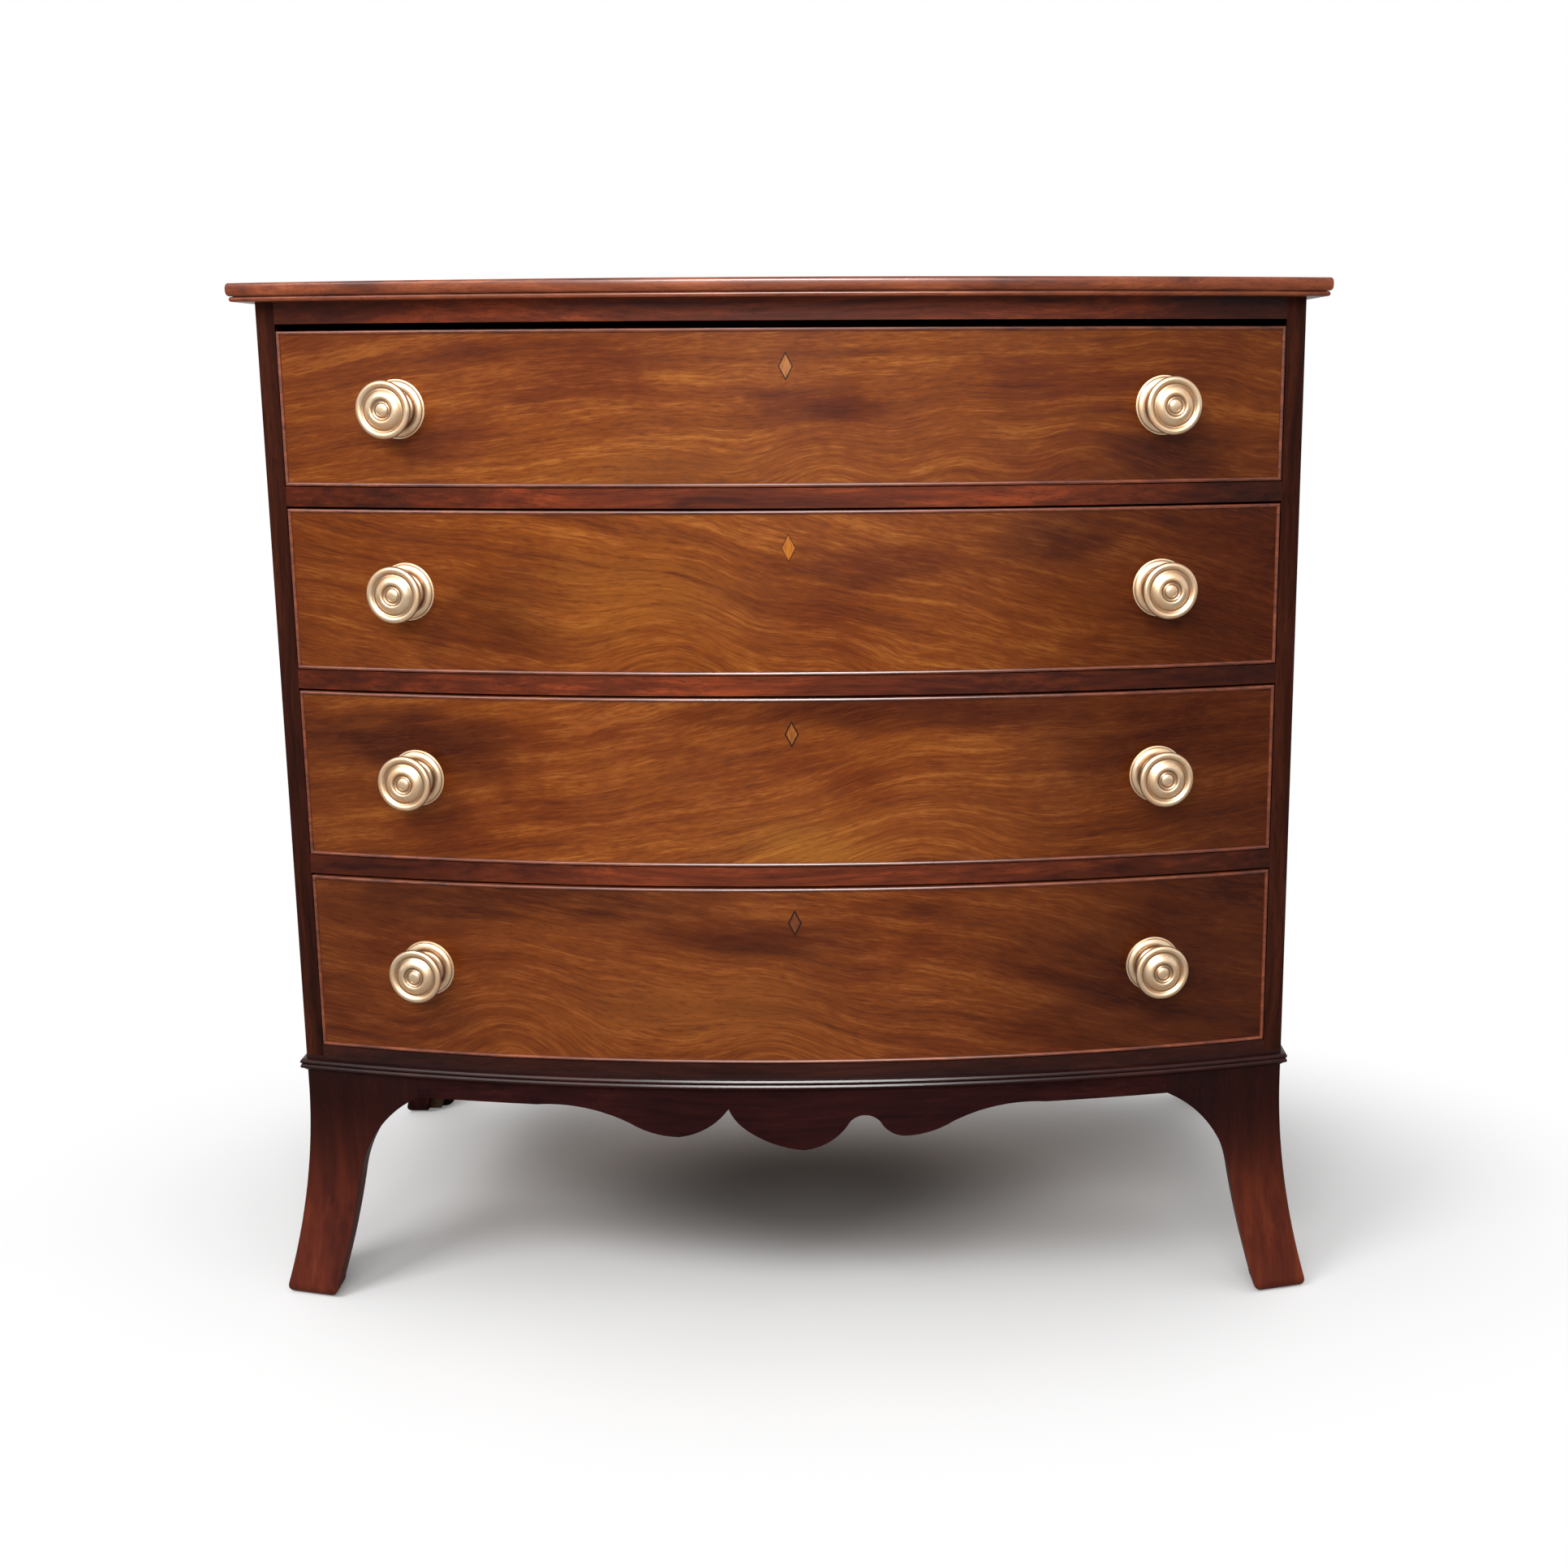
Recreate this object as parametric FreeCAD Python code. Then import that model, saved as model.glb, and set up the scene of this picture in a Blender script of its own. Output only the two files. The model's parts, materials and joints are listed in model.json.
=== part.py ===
"""Bow front chest of four long drawers, on splayed bracket feet, as separate joined pieces.

Frame: +Z up, the bowed front faces -Y, +X is to the right of someone facing the front.
The origin is on the floor, in the middle of the plan box. All sizes are millimetres.
"""
import FreeCAD, Part

import math
import os
from collections import namedtuple

V = FreeCAD.Vector

# ---- Driving dimensions ----------------------------------------------------------------

# The case
CASE_WIDTH = 900.0            # over the case sides
CASE_SIDE_DEPTH = 478.0       # front corner of a case side to its back edge
BOW_RISE = 62.0               # swell of the front beyond its two corners
LEG_HEIGHT = 213.0            # floor to the underside of the case
SIDE_THICKNESS = 17.0
HOUSING_DEPTH = 8.0           # how far rails and boards are let into the sides
HOUSING_SETBACK = 12.0        # stopped housings start this far behind the front edge
RAIL_HEIGHT = 17.0            # rails between the drawers
TOP_RAIL_HEIGHT = 18.5
BOTTOM_RAIL_HEIGHT = 25.0
RAIL_DEPTH = 45.0             # a rail's depth at the front corner of the case
BACK_RAIL_DEPTH = 50.0
BACK_THICKNESS = 9.0
BACK_BOARD_COUNT = 4
BACK_LAP = 8.0                # half lap between neighbouring back boards
BOTTOM_THICKNESS = 12.0
DUST_THICKNESS = 7.0
DUST_TONGUE = 6.0             # how far a dust board enters its grooves
RUNNER_WIDTH = 24.0
RUNNER_HOUSING = 5.0

# The top
TOP_OVERHANG = 21.0           # beyond the bowed front
TOP_END_OVERHANG = 19.5       # beyond each case side
TOP_BACK_OVERHANG = 6.0
TOP_REED_HEIGHT = 11.0        # upper reed of the edge moulding
TOP_REED_DEPTH = 3.2          # how far it stands off its root
TOP_QUIRK = 0.5               # sunk line under it
TOP_BEAD_HEIGHT = 4.0         # lower bead
TOP_BEAD_DEPTH = 1.6
TOP_BEAD_SETBACK = 2.2        # the bead behind the reed
REED_FLAT = 0.5               # a reed's vertical face, as a share of its height

# The base moulding, which covers the joint between the case and its feet
BASE_SLOPE = 4.5              # height of the slope over the reeds
BASE_REED_RADIUS = 2.2
BASE_REED_ROOT = 3.2          # how far the reeds' roots stand off the case
BASE_FOOT_SLOPE = 1.8         # height of the slope under them
BASE_DROP = 0.5               # how far the moulding reaches below the case

# The drawers, from the top one down
DRAWER_HEIGHTS = (131.0, 140.5, 149.0, 161.0)
HEAD_GAP = 2.0                # above each drawer front
TOP_HEAD_GAP = 6.0            # above the top one, which has shrunk the most
FRONT_LIFT = 0.7              # drawer front clear of the rail below
SIDE_GAP = 1.0                # drawer clear of the case side
BEARING_GAP = 0.3             # drawer side over its runner, at rest
REAR_GAP = 14.0               # behind a closed drawer
FRONT_THICKNESS = 22.0
DRAWER_SIDE_THICKNESS = 10.0
DRAWER_BACK_THICKNESS = 8.0
DRAWER_SIDE_DROP = 5.0        # sides lower than the front
DRAWER_BACK_DROP = 6.0        # back lower than the sides
DRAWER_BOTTOM_THICKNESS = 6.5
DRAWER_BOTTOM_RISE = 11.0     # sides' lower edge to the bottom board
DRAWER_GROOVE = 5.0
TAIL_PITCH = 44.0             # about one dovetail to this much height
LEAST_TAILS = 2
PIN_TIP = 7.0                 # narrow face of a pin
TAIL_SLOPE = 1.0 / 7.0
COCK_BEAD = 3.2               # thickness of a cock bead
COCK_BEAD_DEPTH = 6.5         # its rebate, which is also the lap in front of the dovetails
COCK_BEAD_PROUD = 1.5         # how far its nose stands off the drawer face
STOP_HEIGHT = 6.0
STOP_WIDTH = 34.0
STOP_DEPTH = 22.0
STOP_GAP = 0.3                # drawer front clear of its stops
STOP_OFFSET = 220.0           # middle of a stop from the middle of the chest

# The inlaid lozenge where a keyhole would be
LOZENGE_HEIGHT = 24.0
LOZENGE_WIDTH = 12.5
LOZENGE_THICKNESS = 1.2
LOZENGE_DROP = 31.5           # its middle below the drawer's top edge
LOZENGE_OFFSET = 6.5          # set by eye: a little to the right of the middle

# The turned brass knobs
KNOB_OFFSET = 326.0           # a knob from the middle of the chest
KNOB_RADIUS = 24.4
KNOB_REACH = 31.0             # drawer face to the knob's front
FLANGE_RADIUS = 23.6
FLANGE_FACE_RADIUS = 21.5
FLANGE_THICKNESS = 4.4
NECK_RADIUS = 13.0
DISC_THICKNESS = 8.5          # of the front disc
DISC_BACK_RADIUS = 22.4
SPIGOT_WIDTH = 7.0            # square, so that the knob can't turn
SPIGOT_LENGTH = 14.0
SPIGOT_CLEARANCE = 0.1

# The feet, skirts and apron
BRACKET_THICKNESS = 24.0
SKIRT_DEPTH = 18.0            # underside of the case to the lower edge of the skirt
BRACKET_REACH = 108.0         # corner of the case to the end of a foot's bracket
SPLAY = 28.0                  # how far a foot kicks out at the floor
SPLAY_START = 0.93            # share of the leg's height where the kick begins
TOE_EASE = 5.0                # taken off a foot's outer lower edge
TOE_ROUND = 10.0              # radius of its inner lower corner
TOE_WIDTH = 49.5              # width of a leg just above that corner
ANKLE_WIDTH = 50.5            # and where its inner edge is nearly upright
KNEE_WIDTH = 52.5             # and where it starts to turn into the skirt
SHOULDER_WIDTH = 80.5
ANKLE_SHARE, KNEE_SHARE, SHOULDER_SHARE = 0.31, 0.57, 0.90    # their shares of the height
BLOCK_WIDTH = 15.0            # glue block behind a foot's brackets
BLOCK_LIFT = 3.0              # glue block clear of the floor
APRON_THICKNESS = 20.0
SIDE_LOBE_END = 230.0         # where the apron's shaped edge begins, from its middle
SIDE_LOBE_OFFSET = 101.0      # lowest point of a side lobe
SIDE_LOBE_DROP = 27.0         # and how far below the skirt's edge it hangs
FLANK_TURN_OFFSET = 146.0     # where a side lobe's flank turns
FLANK_TURN_DROP = 14.5
LEFT_CUSP_OFFSET = 56.0       # sawn by hand: this cusp comes to a point
LEFT_SHOULDER_OFFSET = 40.0   # where the middle lobe's steep flank eases
LEFT_SHOULDER_DROP = 20.0
RIGHT_CUSP_OFFSET = 66.5      # and this one is rounded over and hangs lower
RIGHT_CUSP_DROP = 6.4
RIGHT_CUSP_WIDTH = 32.0       # over its round, from flank to flank
RIGHT_FLANK_DROP = 16.5
MIDDLE_LOBE_OFFSET = 12.0     # the middle lobe hangs a little to the right
MIDDLE_LOBE_DROP = 39.0
GENTLE_BULGE = 0.07           # how far an arc stands off its chord, as a share of it
FULL_BULGE = 0.105

# ---- Worked out from them --------------------------------------------------------------

HALF_WIDTH = CASE_WIDTH / 2
HALF_OPENING = HALF_WIDTH - SIDE_THICKNESS
HALF_DRAWER = HALF_OPENING - SIDE_GAP
HALF_INSIDE = HALF_DRAWER - DRAWER_SIDE_THICKNESS

BOW_RADIUS = (HALF_WIDTH ** 2 + BOW_RISE ** 2) / (2 * BOW_RISE)
CORNER_Y = (BOW_RISE + TOP_OVERHANG - CASE_SIDE_DEPTH - TOP_BACK_OVERHANG) / 2
BOW_CENTRE_Y = CORNER_Y - BOW_RISE + BOW_RADIUS
BACK_Y = CORNER_Y + CASE_SIDE_DEPTH
INSIDE_BACK_Y = BACK_Y - BACK_THICKNESS
RAIL_BACK_Y = CORNER_Y + RAIL_DEPTH
DRAWER_BACK_Y = INSIDE_BACK_Y - REAR_GAP
FRONT_INNER_RADIUS = BOW_RADIUS - FRONT_THICKNESS
SPLAY_TOP = SPLAY_START * LEG_HEIGHT

# slope in plan of the mitre that parts the bowed front from a straight side
CORNER_SINE = HALF_WIDTH / BOW_RADIUS
MITRE_SLOPE = (1 - CORNER_SINE) / math.sqrt(1 - CORNER_SINE ** 2)

TOP_THICKNESS = TOP_BEAD_HEIGHT + TOP_QUIRK + TOP_REED_HEIGHT
SKIRT_EDGE = LEG_HEIGHT - SKIRT_DEPTH
BOTTOM_RAIL_TOP = LEG_HEIGHT + BOTTOM_RAIL_HEIGHT

FAR = 2 * (CASE_WIDTH + CASE_SIDE_DEPTH)    # beyond everything, for cutting shapes
MARGIN = 1.0                                # how far a cutting shape passes a face
HALF_SWEEP, WIDE_HALF_SWEEP = 30.0, 45.0    # degrees of the bow that a section is swept
QUARTER_BULGE = 1 - math.sqrt(0.5)          # middle of a quarter round from its tangents
LEFT_RIGHT = (-1, 1)

Level = namedtuple("Level", "bearing bottom top ceiling")


def drawer_levels():
    """Heights of each drawer's runner, front and ceiling, from the top drawer down."""
    levels = []
    bearing = BOTTOM_RAIL_TOP
    for place, height in enumerate(reversed(DRAWER_HEIGHTS), start=1):
        bottom = bearing + FRONT_LIFT
        top = bottom + height
        ceiling = top + (TOP_HEAD_GAP if place == len(DRAWER_HEIGHTS) else HEAD_GAP)
        levels.insert(0, Level(bearing, bottom, top, ceiling))
        bearing = ceiling + RAIL_HEIGHT
    return levels


LEVELS = drawer_levels()
CASE_TOP = LEVELS[0].ceiling + TOP_RAIL_HEIGHT


# ---- Shapes that many pieces share -----------------------------------------------------

def board(x_range, y_range, z_range):
    """Rectangular board between two limits along each axis."""
    low = V(x_range[0], y_range[0], z_range[0])
    high = V(x_range[1], y_range[1], z_range[1])
    size = high - low
    return Part.makeBox(size.x, size.y, size.z, low)


def outline(start, *steps):
    """Upright face in the XZ plane, bounded by straight edges and arcs.

    Each step lists the points after the last one: one point makes a straight edge, and two
    make an arc through the first of them.
    """
    edges = []
    here = V(start[0], 0, start[1])
    for step in steps:
        points = [here] + [V(point[0], 0, point[1]) for point in step]
        shape = Part.LineSegment if len(step) == 1 else Part.Arc
        edges.append(shape(*points).toShape())
        here = points[-1]
    edges.append(Part.LineSegment(here, V(start[0], 0, start[1])).toShape())
    return Part.Face(Part.Wire(edges))


def upward(solid):
    """The solid with its faces turned outwards."""
    if solid.Volume < 0:
        solid.reverse()
    return solid


def along_y(face, y_start, y_end):
    """Run an upright face along Y."""
    placed = face.translated(V(0, y_start, 0))
    return upward(placed.extrude(V(0, y_end - y_start, 0)))


def along_x(face, x_start, x_end):
    """Run an upright face, drawn with Y for its first coordinate, along X."""
    placed = face.copy()
    placed.rotate(V(0, 0, 0), V(0, 0, 1), 90)
    placed.translate(V(x_start, 0, 0))
    return upward(placed.extrude(V(x_end - x_start, 0, 0)))


def round_the_bow(face, half_angle=HALF_SWEEP):
    """Sweep an upright face, drawn with its distance from the bow's axis first, round the bow."""
    solid = face.revolve(V(0, 0, 0), V(0, 0, 1), 2 * half_angle)
    solid.rotate(V(0, 0, 0), V(0, 0, 1), -90 - half_angle)
    solid.translate(V(0, BOW_CENTRE_Y, 0))
    return upward(solid)


def reed_steps(root, foot, height, depth):
    """Three flats up a reed that stands off its root."""
    side = height * (1 - REED_FLAT) / 2
    return [((root + depth, foot + side),), ((root + depth, foot + height - side),),
            ((root, foot + height),)]


def bow_y(x, radius=BOW_RADIUS):
    """Y of the bow, or of a curve concentric with it, at x."""
    return BOW_CENTRE_Y - math.sqrt(radius ** 2 - x ** 2)


def bowed_board(half_width, radius, back_y, z_range):
    """Board whose front edge is bowed, with square ends and a straight back."""
    left = V(-half_width, bow_y(half_width, radius), z_range[0])
    right = V(half_width, bow_y(half_width, radius), z_range[0])
    middle = V(0, BOW_CENTRE_Y - radius, z_range[0])
    back_right = V(half_width, back_y, z_range[0])
    back_left = V(-half_width, back_y, z_range[0])
    edges = [Part.Arc(left, middle, right).toShape()]
    for start, end in ((right, back_right), (back_right, back_left), (back_left, left)):
        edges.append(Part.LineSegment(start, end).toShape())
    face = Part.Face(Part.Wire(edges))
    return upward(face.extrude(V(0, 0, z_range[1] - z_range[0])))


def bowed_shell(half_width, outer_radius, inner_radius, z_range):
    """Curved board of even thickness, concentric with the bow, with square ends."""
    outer = bowed_board(half_width, outer_radius, BACK_Y, z_range)
    hollow_range = (z_range[0] - MARGIN, z_range[1] + MARGIN)
    return outer.cut(bowed_board(half_width + MARGIN, inner_radius, FAR, hollow_range))


def mirrored(shape):
    """The same shape on the other side of the chest."""
    return shape.mirror(V(0, 0, 0), V(1, 0, 0))


def in_front_of_mitres():
    """Everything in front of the two mitre planes at the case's front corners."""
    spread = HALF_WIDTH + CASE_SIDE_DEPTH
    end_y = CORNER_Y - MITRE_SLOPE * CASE_SIDE_DEPTH
    ridge_y = CORNER_Y + MITRE_SLOPE * HALF_WIDTH
    points = [V(x, y, -MARGIN) for x, y in ((-spread, end_y), (0, ridge_y), (spread, end_y),
                                            (spread, end_y - FAR), (-spread, end_y - FAR))]
    face = Part.Face(Part.makePolygon(points + points[:1]))
    return upward(face.extrude(V(0, 0, FAR)))


def both_sides(maker):
    """A piece and its mirror image, as left and right."""
    right = maker()
    return {"left": mirrored(right), "right": right}


# ---- The top ---------------------------------------------------------------------------

def top_edge_steps(edge):
    """Reeded edge from the underside to the upper face, out to the given distance."""
    bead_root = edge - TOP_BEAD_SETBACK - TOP_BEAD_DEPTH
    reed_root = edge - TOP_REED_DEPTH
    reed_foot = CASE_TOP + TOP_BEAD_HEIGHT + TOP_QUIRK
    return [((bead_root, CASE_TOP),),
            *reed_steps(bead_root, CASE_TOP, TOP_BEAD_HEIGHT, TOP_BEAD_DEPTH),
            ((reed_root, reed_foot),),
            *reed_steps(reed_root, reed_foot, TOP_REED_HEIGHT, TOP_REED_DEPTH)]


def top_board():
    """Top with its two reeds worked round the front and ends, meeting on the corners."""
    upper = CASE_TOP + TOP_THICKNESS
    hub = BOW_RADIUS - CASE_WIDTH
    bowed = outline((hub, CASE_TOP), *top_edge_steps(BOW_RADIUS + TOP_OVERHANG), ((hub, upper),))
    half = outline((0, CASE_TOP), *top_edge_steps(HALF_WIDTH + TOP_END_OVERHANG), ((0, upper),))
    back = BACK_Y + TOP_BACK_OVERHANG
    front = CORNER_Y - BOW_RISE - 2 * TOP_OVERHANG
    right = along_y(half, front, back)
    straight = right.fuse(mirrored(right)).removeSplitter()
    return straight.common(round_the_bow(bowed, WIDE_HALF_SWEEP))


# ---- The case --------------------------------------------------------------------------

def rail(z_range):
    """Rail with a bowed front edge, its ends housed in the case sides behind the face."""
    between = bowed_board(HALF_OPENING, BOW_RADIUS, RAIL_BACK_Y, z_range)
    reach = HALF_OPENING + HOUSING_DEPTH
    tongue_y = (CORNER_Y + HOUSING_SETBACK, RAIL_BACK_Y)
    tongue = board((-reach, reach), tongue_y, z_range)
    return between.fuse(tongue).removeSplitter()


def divider_ranges():
    """Bottom and top of each rail between two drawers, from the top down."""
    return [(lower.ceiling, lower.ceiling + RAIL_HEIGHT) for lower in LEVELS[1:]]


def dust_range(z_range):
    """Bottom and top of the dust board inside a rail's height."""
    middle = (z_range[0] + z_range[1]) / 2
    return (middle - DUST_THICKNESS / 2, middle + DUST_THICKNESS / 2)


def dust_board(z_range):
    """Thin board between two runners, tongued into them and into the rail in front."""
    half_width = HALF_OPENING - RUNNER_WIDTH + DUST_TONGUE
    return board((-half_width, half_width), (RAIL_BACK_Y - DUST_TONGUE, INSIDE_BACK_Y),
                 dust_range(z_range))


def runner(z_range):
    """Right-hand runner behind a rail, housed in the case side and tongued into the rail."""
    inner = HALF_OPENING - RUNNER_WIDTH
    strip = board((inner, HALF_OPENING + RUNNER_HOUSING), (RAIL_BACK_Y, INSIDE_BACK_Y), z_range)
    tongue = board((inner + DUST_TONGUE, HALF_OPENING), (RAIL_BACK_Y - DUST_TONGUE, RAIL_BACK_Y),
                   dust_range(z_range))
    return strip.fuse(tongue).cut(dust_board(z_range)).removeSplitter()


def bottom_runner():
    """Right-hand strip on the case's bottom board, which carries the lowest drawer."""
    return board((HALF_OPENING - RUNNER_WIDTH, HALF_OPENING), (RAIL_BACK_Y, INSIDE_BACK_Y),
                 (LEG_HEIGHT + BOTTOM_THICKNESS, BOTTOM_RAIL_TOP))


def kicker():
    """Right-hand strip under the top, which stops the top drawer tipping as it is drawn."""
    return board((HALF_OPENING - RUNNER_WIDTH, HALF_OPENING),
                 (RAIL_BACK_Y, INSIDE_BACK_Y - BACK_RAIL_DEPTH), (LEVELS[0].ceiling, CASE_TOP))


def case_bottom():
    """Bottom board, rebated into the lower edges of the sides."""
    reach = HALF_OPENING + HOUSING_DEPTH
    return board((-reach, reach), (RAIL_BACK_Y, INSIDE_BACK_Y),
                 (LEG_HEIGHT, LEG_HEIGHT + BOTTOM_THICKNESS))


def top_back_rail():
    """Rear rail under the top."""
    reach = HALF_OPENING + HOUSING_DEPTH
    return board((-reach, reach), (INSIDE_BACK_Y - BACK_RAIL_DEPTH, INSIDE_BACK_Y),
                 (LEVELS[0].ceiling, CASE_TOP))


def back_boards():
    """Upright back boards, half lapped along their edges and set in the sides' rebates."""
    reach = HALF_OPENING + HOUSING_DEPTH
    width = 2 * reach / BACK_BOARD_COUNT
    half_y = (INSIDE_BACK_Y + BACK_Y) / 2
    height = (LEG_HEIGHT, CASE_TOP)
    boards = []
    for number in range(BACK_BOARD_COUNT):
        left = number * width - reach
        right = left + width
        inner_right = right if number == BACK_BOARD_COUNT - 1 else right + BACK_LAP
        inner_left = left if number == 0 else left + BACK_LAP
        outer_half = board((left, right), (half_y, BACK_Y), height)
        inner_half = board((inner_left, inner_right), (INSIDE_BACK_Y, half_y), height)
        boards.append(outer_half.fuse(inner_half).removeSplitter())
    return boards


def case_side(joined):
    """Right-hand side, its front edge bowed, housed for the pieces that join it."""
    whole = bowed_board(HALF_WIDTH, BOW_RADIUS, BACK_Y, (LEG_HEIGHT, CASE_TOP))
    outer_strip = board((HALF_OPENING, HALF_WIDTH), (CORNER_Y - BOW_RISE, BACK_Y),
                        (LEG_HEIGHT, CASE_TOP))
    return whole.common(outer_strip).cut(joined)


def drawer_stops():
    """Small blocks on each rail that the drawer front closes against."""
    stops = []
    for level in LEVELS:
        for side in LEFT_RIGHT:
            middle = side * STOP_OFFSET
            far_corner = STOP_OFFSET + STOP_WIDTH / 2
            front_y = bow_y(far_corner, FRONT_INNER_RADIUS) + STOP_GAP
            stops.append(board((middle - STOP_WIDTH / 2, middle + STOP_WIDTH / 2),
                               (front_y, front_y + STOP_DEPTH),
                               (level.bearing, level.bearing + STOP_HEIGHT)))
    return stops


# ---- Base moulding, skirts and apron ---------------------------------------------------

def base_moulding_face(face_of_case):
    """Slope over two reeds over a small slope, standing off the case."""
    root = face_of_case + BASE_REED_ROOT
    bottom = LEG_HEIGHT - BASE_DROP
    reed_height = 2 * BASE_REED_RADIUS
    lower_reed = bottom + BASE_FOOT_SLOPE
    upper_reed = lower_reed + reed_height
    return outline((face_of_case, bottom), ((root, lower_reed),),
                   *reed_steps(root, lower_reed, reed_height, BASE_REED_RADIUS),
                   *reed_steps(root, upper_reed, reed_height, BASE_REED_RADIUS),
                   ((face_of_case, upper_reed + reed_height + BASE_SLOPE),))


def base_moulding_front():
    """Moulding round the bow, mitred at the corners."""
    return round_the_bow(base_moulding_face(BOW_RADIUS)).common(in_front_of_mitres())


def base_moulding_side():
    """Right-hand moulding, mitred to the front one."""
    strip = along_y(base_moulding_face(HALF_WIDTH), CORNER_Y - BOW_RISE, BACK_Y)
    return strip.cut(in_front_of_mitres())


def arcs_through(start, *legs):
    """Arcs from a point to each leg's end, each standing off its chord by the leg's share of it.

    A positive share bulges to the left of the way along.
    """
    steps = []
    for end, share in legs:
        run, climb = end[0] - start[0], end[1] - start[1]
        middle = ((start[0] + end[0]) / 2 - share * climb, (start[1] + end[1]) / 2 + share * run)
        steps.append((middle, end))
        start = end
    return steps


def apron_edge_steps():
    """Lower edge of the apron from right to left: a lobe, a round cusp, a lobe, a cusp, a lobe."""
    def hanging(offset, drop=0.0):
        return (offset, SKIRT_EDGE - drop)

    right_end, left_end = hanging(SIDE_LOBE_END), hanging(-SIDE_LOBE_END)
    right_inner = RIGHT_CUSP_OFFSET - RIGHT_CUSP_WIDTH / 2
    over_cusp = (hanging(RIGHT_CUSP_OFFSET, RIGHT_CUSP_DROP), hanging(right_inner, RIGHT_FLANK_DROP))
    right_lobe = arcs_through(
        right_end, (hanging(FLANK_TURN_OFFSET, FLANK_TURN_DROP), -GENTLE_BULGE),
        (hanging(SIDE_LOBE_OFFSET, SIDE_LOBE_DROP), GENTLE_BULGE),
        (hanging(right_inner + RIGHT_CUSP_WIDTH, RIGHT_FLANK_DROP), FULL_BULGE))
    middle_and_left = arcs_through(
        over_cusp[-1], (hanging(MIDDLE_LOBE_OFFSET, MIDDLE_LOBE_DROP), FULL_BULGE),
        (hanging(-LEFT_SHOULDER_OFFSET, LEFT_SHOULDER_DROP), GENTLE_BULGE),
        (hanging(-LEFT_CUSP_OFFSET), GENTLE_BULGE),
        (hanging(-SIDE_LOBE_OFFSET, SIDE_LOBE_DROP), FULL_BULGE),
        (hanging(-FLANK_TURN_OFFSET, FLANK_TURN_DROP), GENTLE_BULGE),
        (left_end, -GENTLE_BULGE))
    return [*right_lobe, over_cusp, *middle_and_left]


def apron():
    """Shaped apron under the bowed front, between the two front feet."""
    reach = HALF_WIDTH - BRACKET_REACH
    face = outline((-reach, LEG_HEIGHT), ((reach, LEG_HEIGHT),), ((reach, SKIRT_EDGE),),
                   ((SIDE_LOBE_END, SKIRT_EDGE),), *apron_edge_steps(), ((-reach, SKIRT_EDGE),))
    shape = along_y(face, CORNER_Y - 2 * BOW_RISE, CORNER_Y + BOW_RISE)
    curved = bowed_shell(reach, BOW_RADIUS, BOW_RADIUS - APRON_THICKNESS, (0, LEG_HEIGHT))
    return curved.common(shape)


def side_skirt():
    """Right-hand skirt between the brackets of the front and back feet."""
    return board((HALF_WIDTH - APRON_THICKNESS, HALF_WIDTH),
                 (CORNER_Y + BRACKET_REACH, BACK_Y - BRACKET_REACH), (SKIRT_EDGE, LEG_HEIGHT))


# ---- The feet --------------------------------------------------------------------------

def splay_at(height):
    """How far a foot has kicked out at a height above the floor, on an arc."""
    radius = (SPLAY_TOP ** 2 + SPLAY ** 2) / (2 * SPLAY)
    down = max(0.0, SPLAY_TOP - height)
    return radius - math.sqrt(radius ** 2 - down ** 2)


def sawn_points(distance, lowest=0.0):
    """Points down a hidden splayed surface, sawn in two flats, as far as a height."""
    middle = SPLAY_TOP / 2
    middle_out = distance + splay_at(middle)
    floor_out = distance + splay_at(0)
    share = lowest / middle
    return [((distance, SPLAY_TOP),), ((middle_out, middle),),
            ((floor_out + (middle_out - floor_out) * share, lowest),)]


def splayed_face(outer, inner):
    """Upright section of a splayed bracket, curved outside, with an eased toe."""
    middle = SPLAY_TOP / 2
    toe = outer + splay_at(TOE_EASE)
    return outline((outer, LEG_HEIGHT), ((outer, SPLAY_TOP),),
                   ((outer + splay_at(middle), middle), (toe, TOE_EASE)), ((toe - TOE_EASE, 0),),
                   *reversed(sawn_points(inner)), ((inner, LEG_HEIGHT),))


def behind_face(face, width, lowest):
    """Upright section of a piece of even width that lies against a bracket's inner face."""
    return outline((face, LEG_HEIGHT), *sawn_points(face, lowest),
                   *reversed(sawn_points(face - width, lowest)), ((face - width, LEG_HEIGHT),))


def bracket_face(corner, inward, kicked):
    """Elevation of a foot's bracket, from its shaped inner edge out past the corner.

    corner is the corner's coordinate, inward is +1 or -1 for the way in from it, and kicked
    says whether this edge of the leg splays.
    """
    def place(width, height):
        kick = splay_at(height) if kicked else 0.0
        return (corner + inward * (width - kick), height)

    end = corner + inward * BRACKET_REACH
    outside = corner - inward * 2 * BRACKET_REACH
    toe = place(TOE_WIDTH, TOE_ROUND)
    eased = QUARTER_BULGE * TOE_ROUND
    return outline((end, LEG_HEIGHT), ((end, SKIRT_EDGE),),
                   (place(SHOULDER_WIDTH, SHOULDER_SHARE * SKIRT_EDGE),
                    place(KNEE_WIDTH, KNEE_SHARE * SKIRT_EDGE)),
                   (place(ANKLE_WIDTH, ANKLE_SHARE * SKIRT_EDGE), toe),
                   ((toe[0] - inward * eased, eased), (toe[0] - inward * TOE_ROUND, 0)),
                   ((outside, 0),), ((outside, LEG_HEIGHT),))


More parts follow.
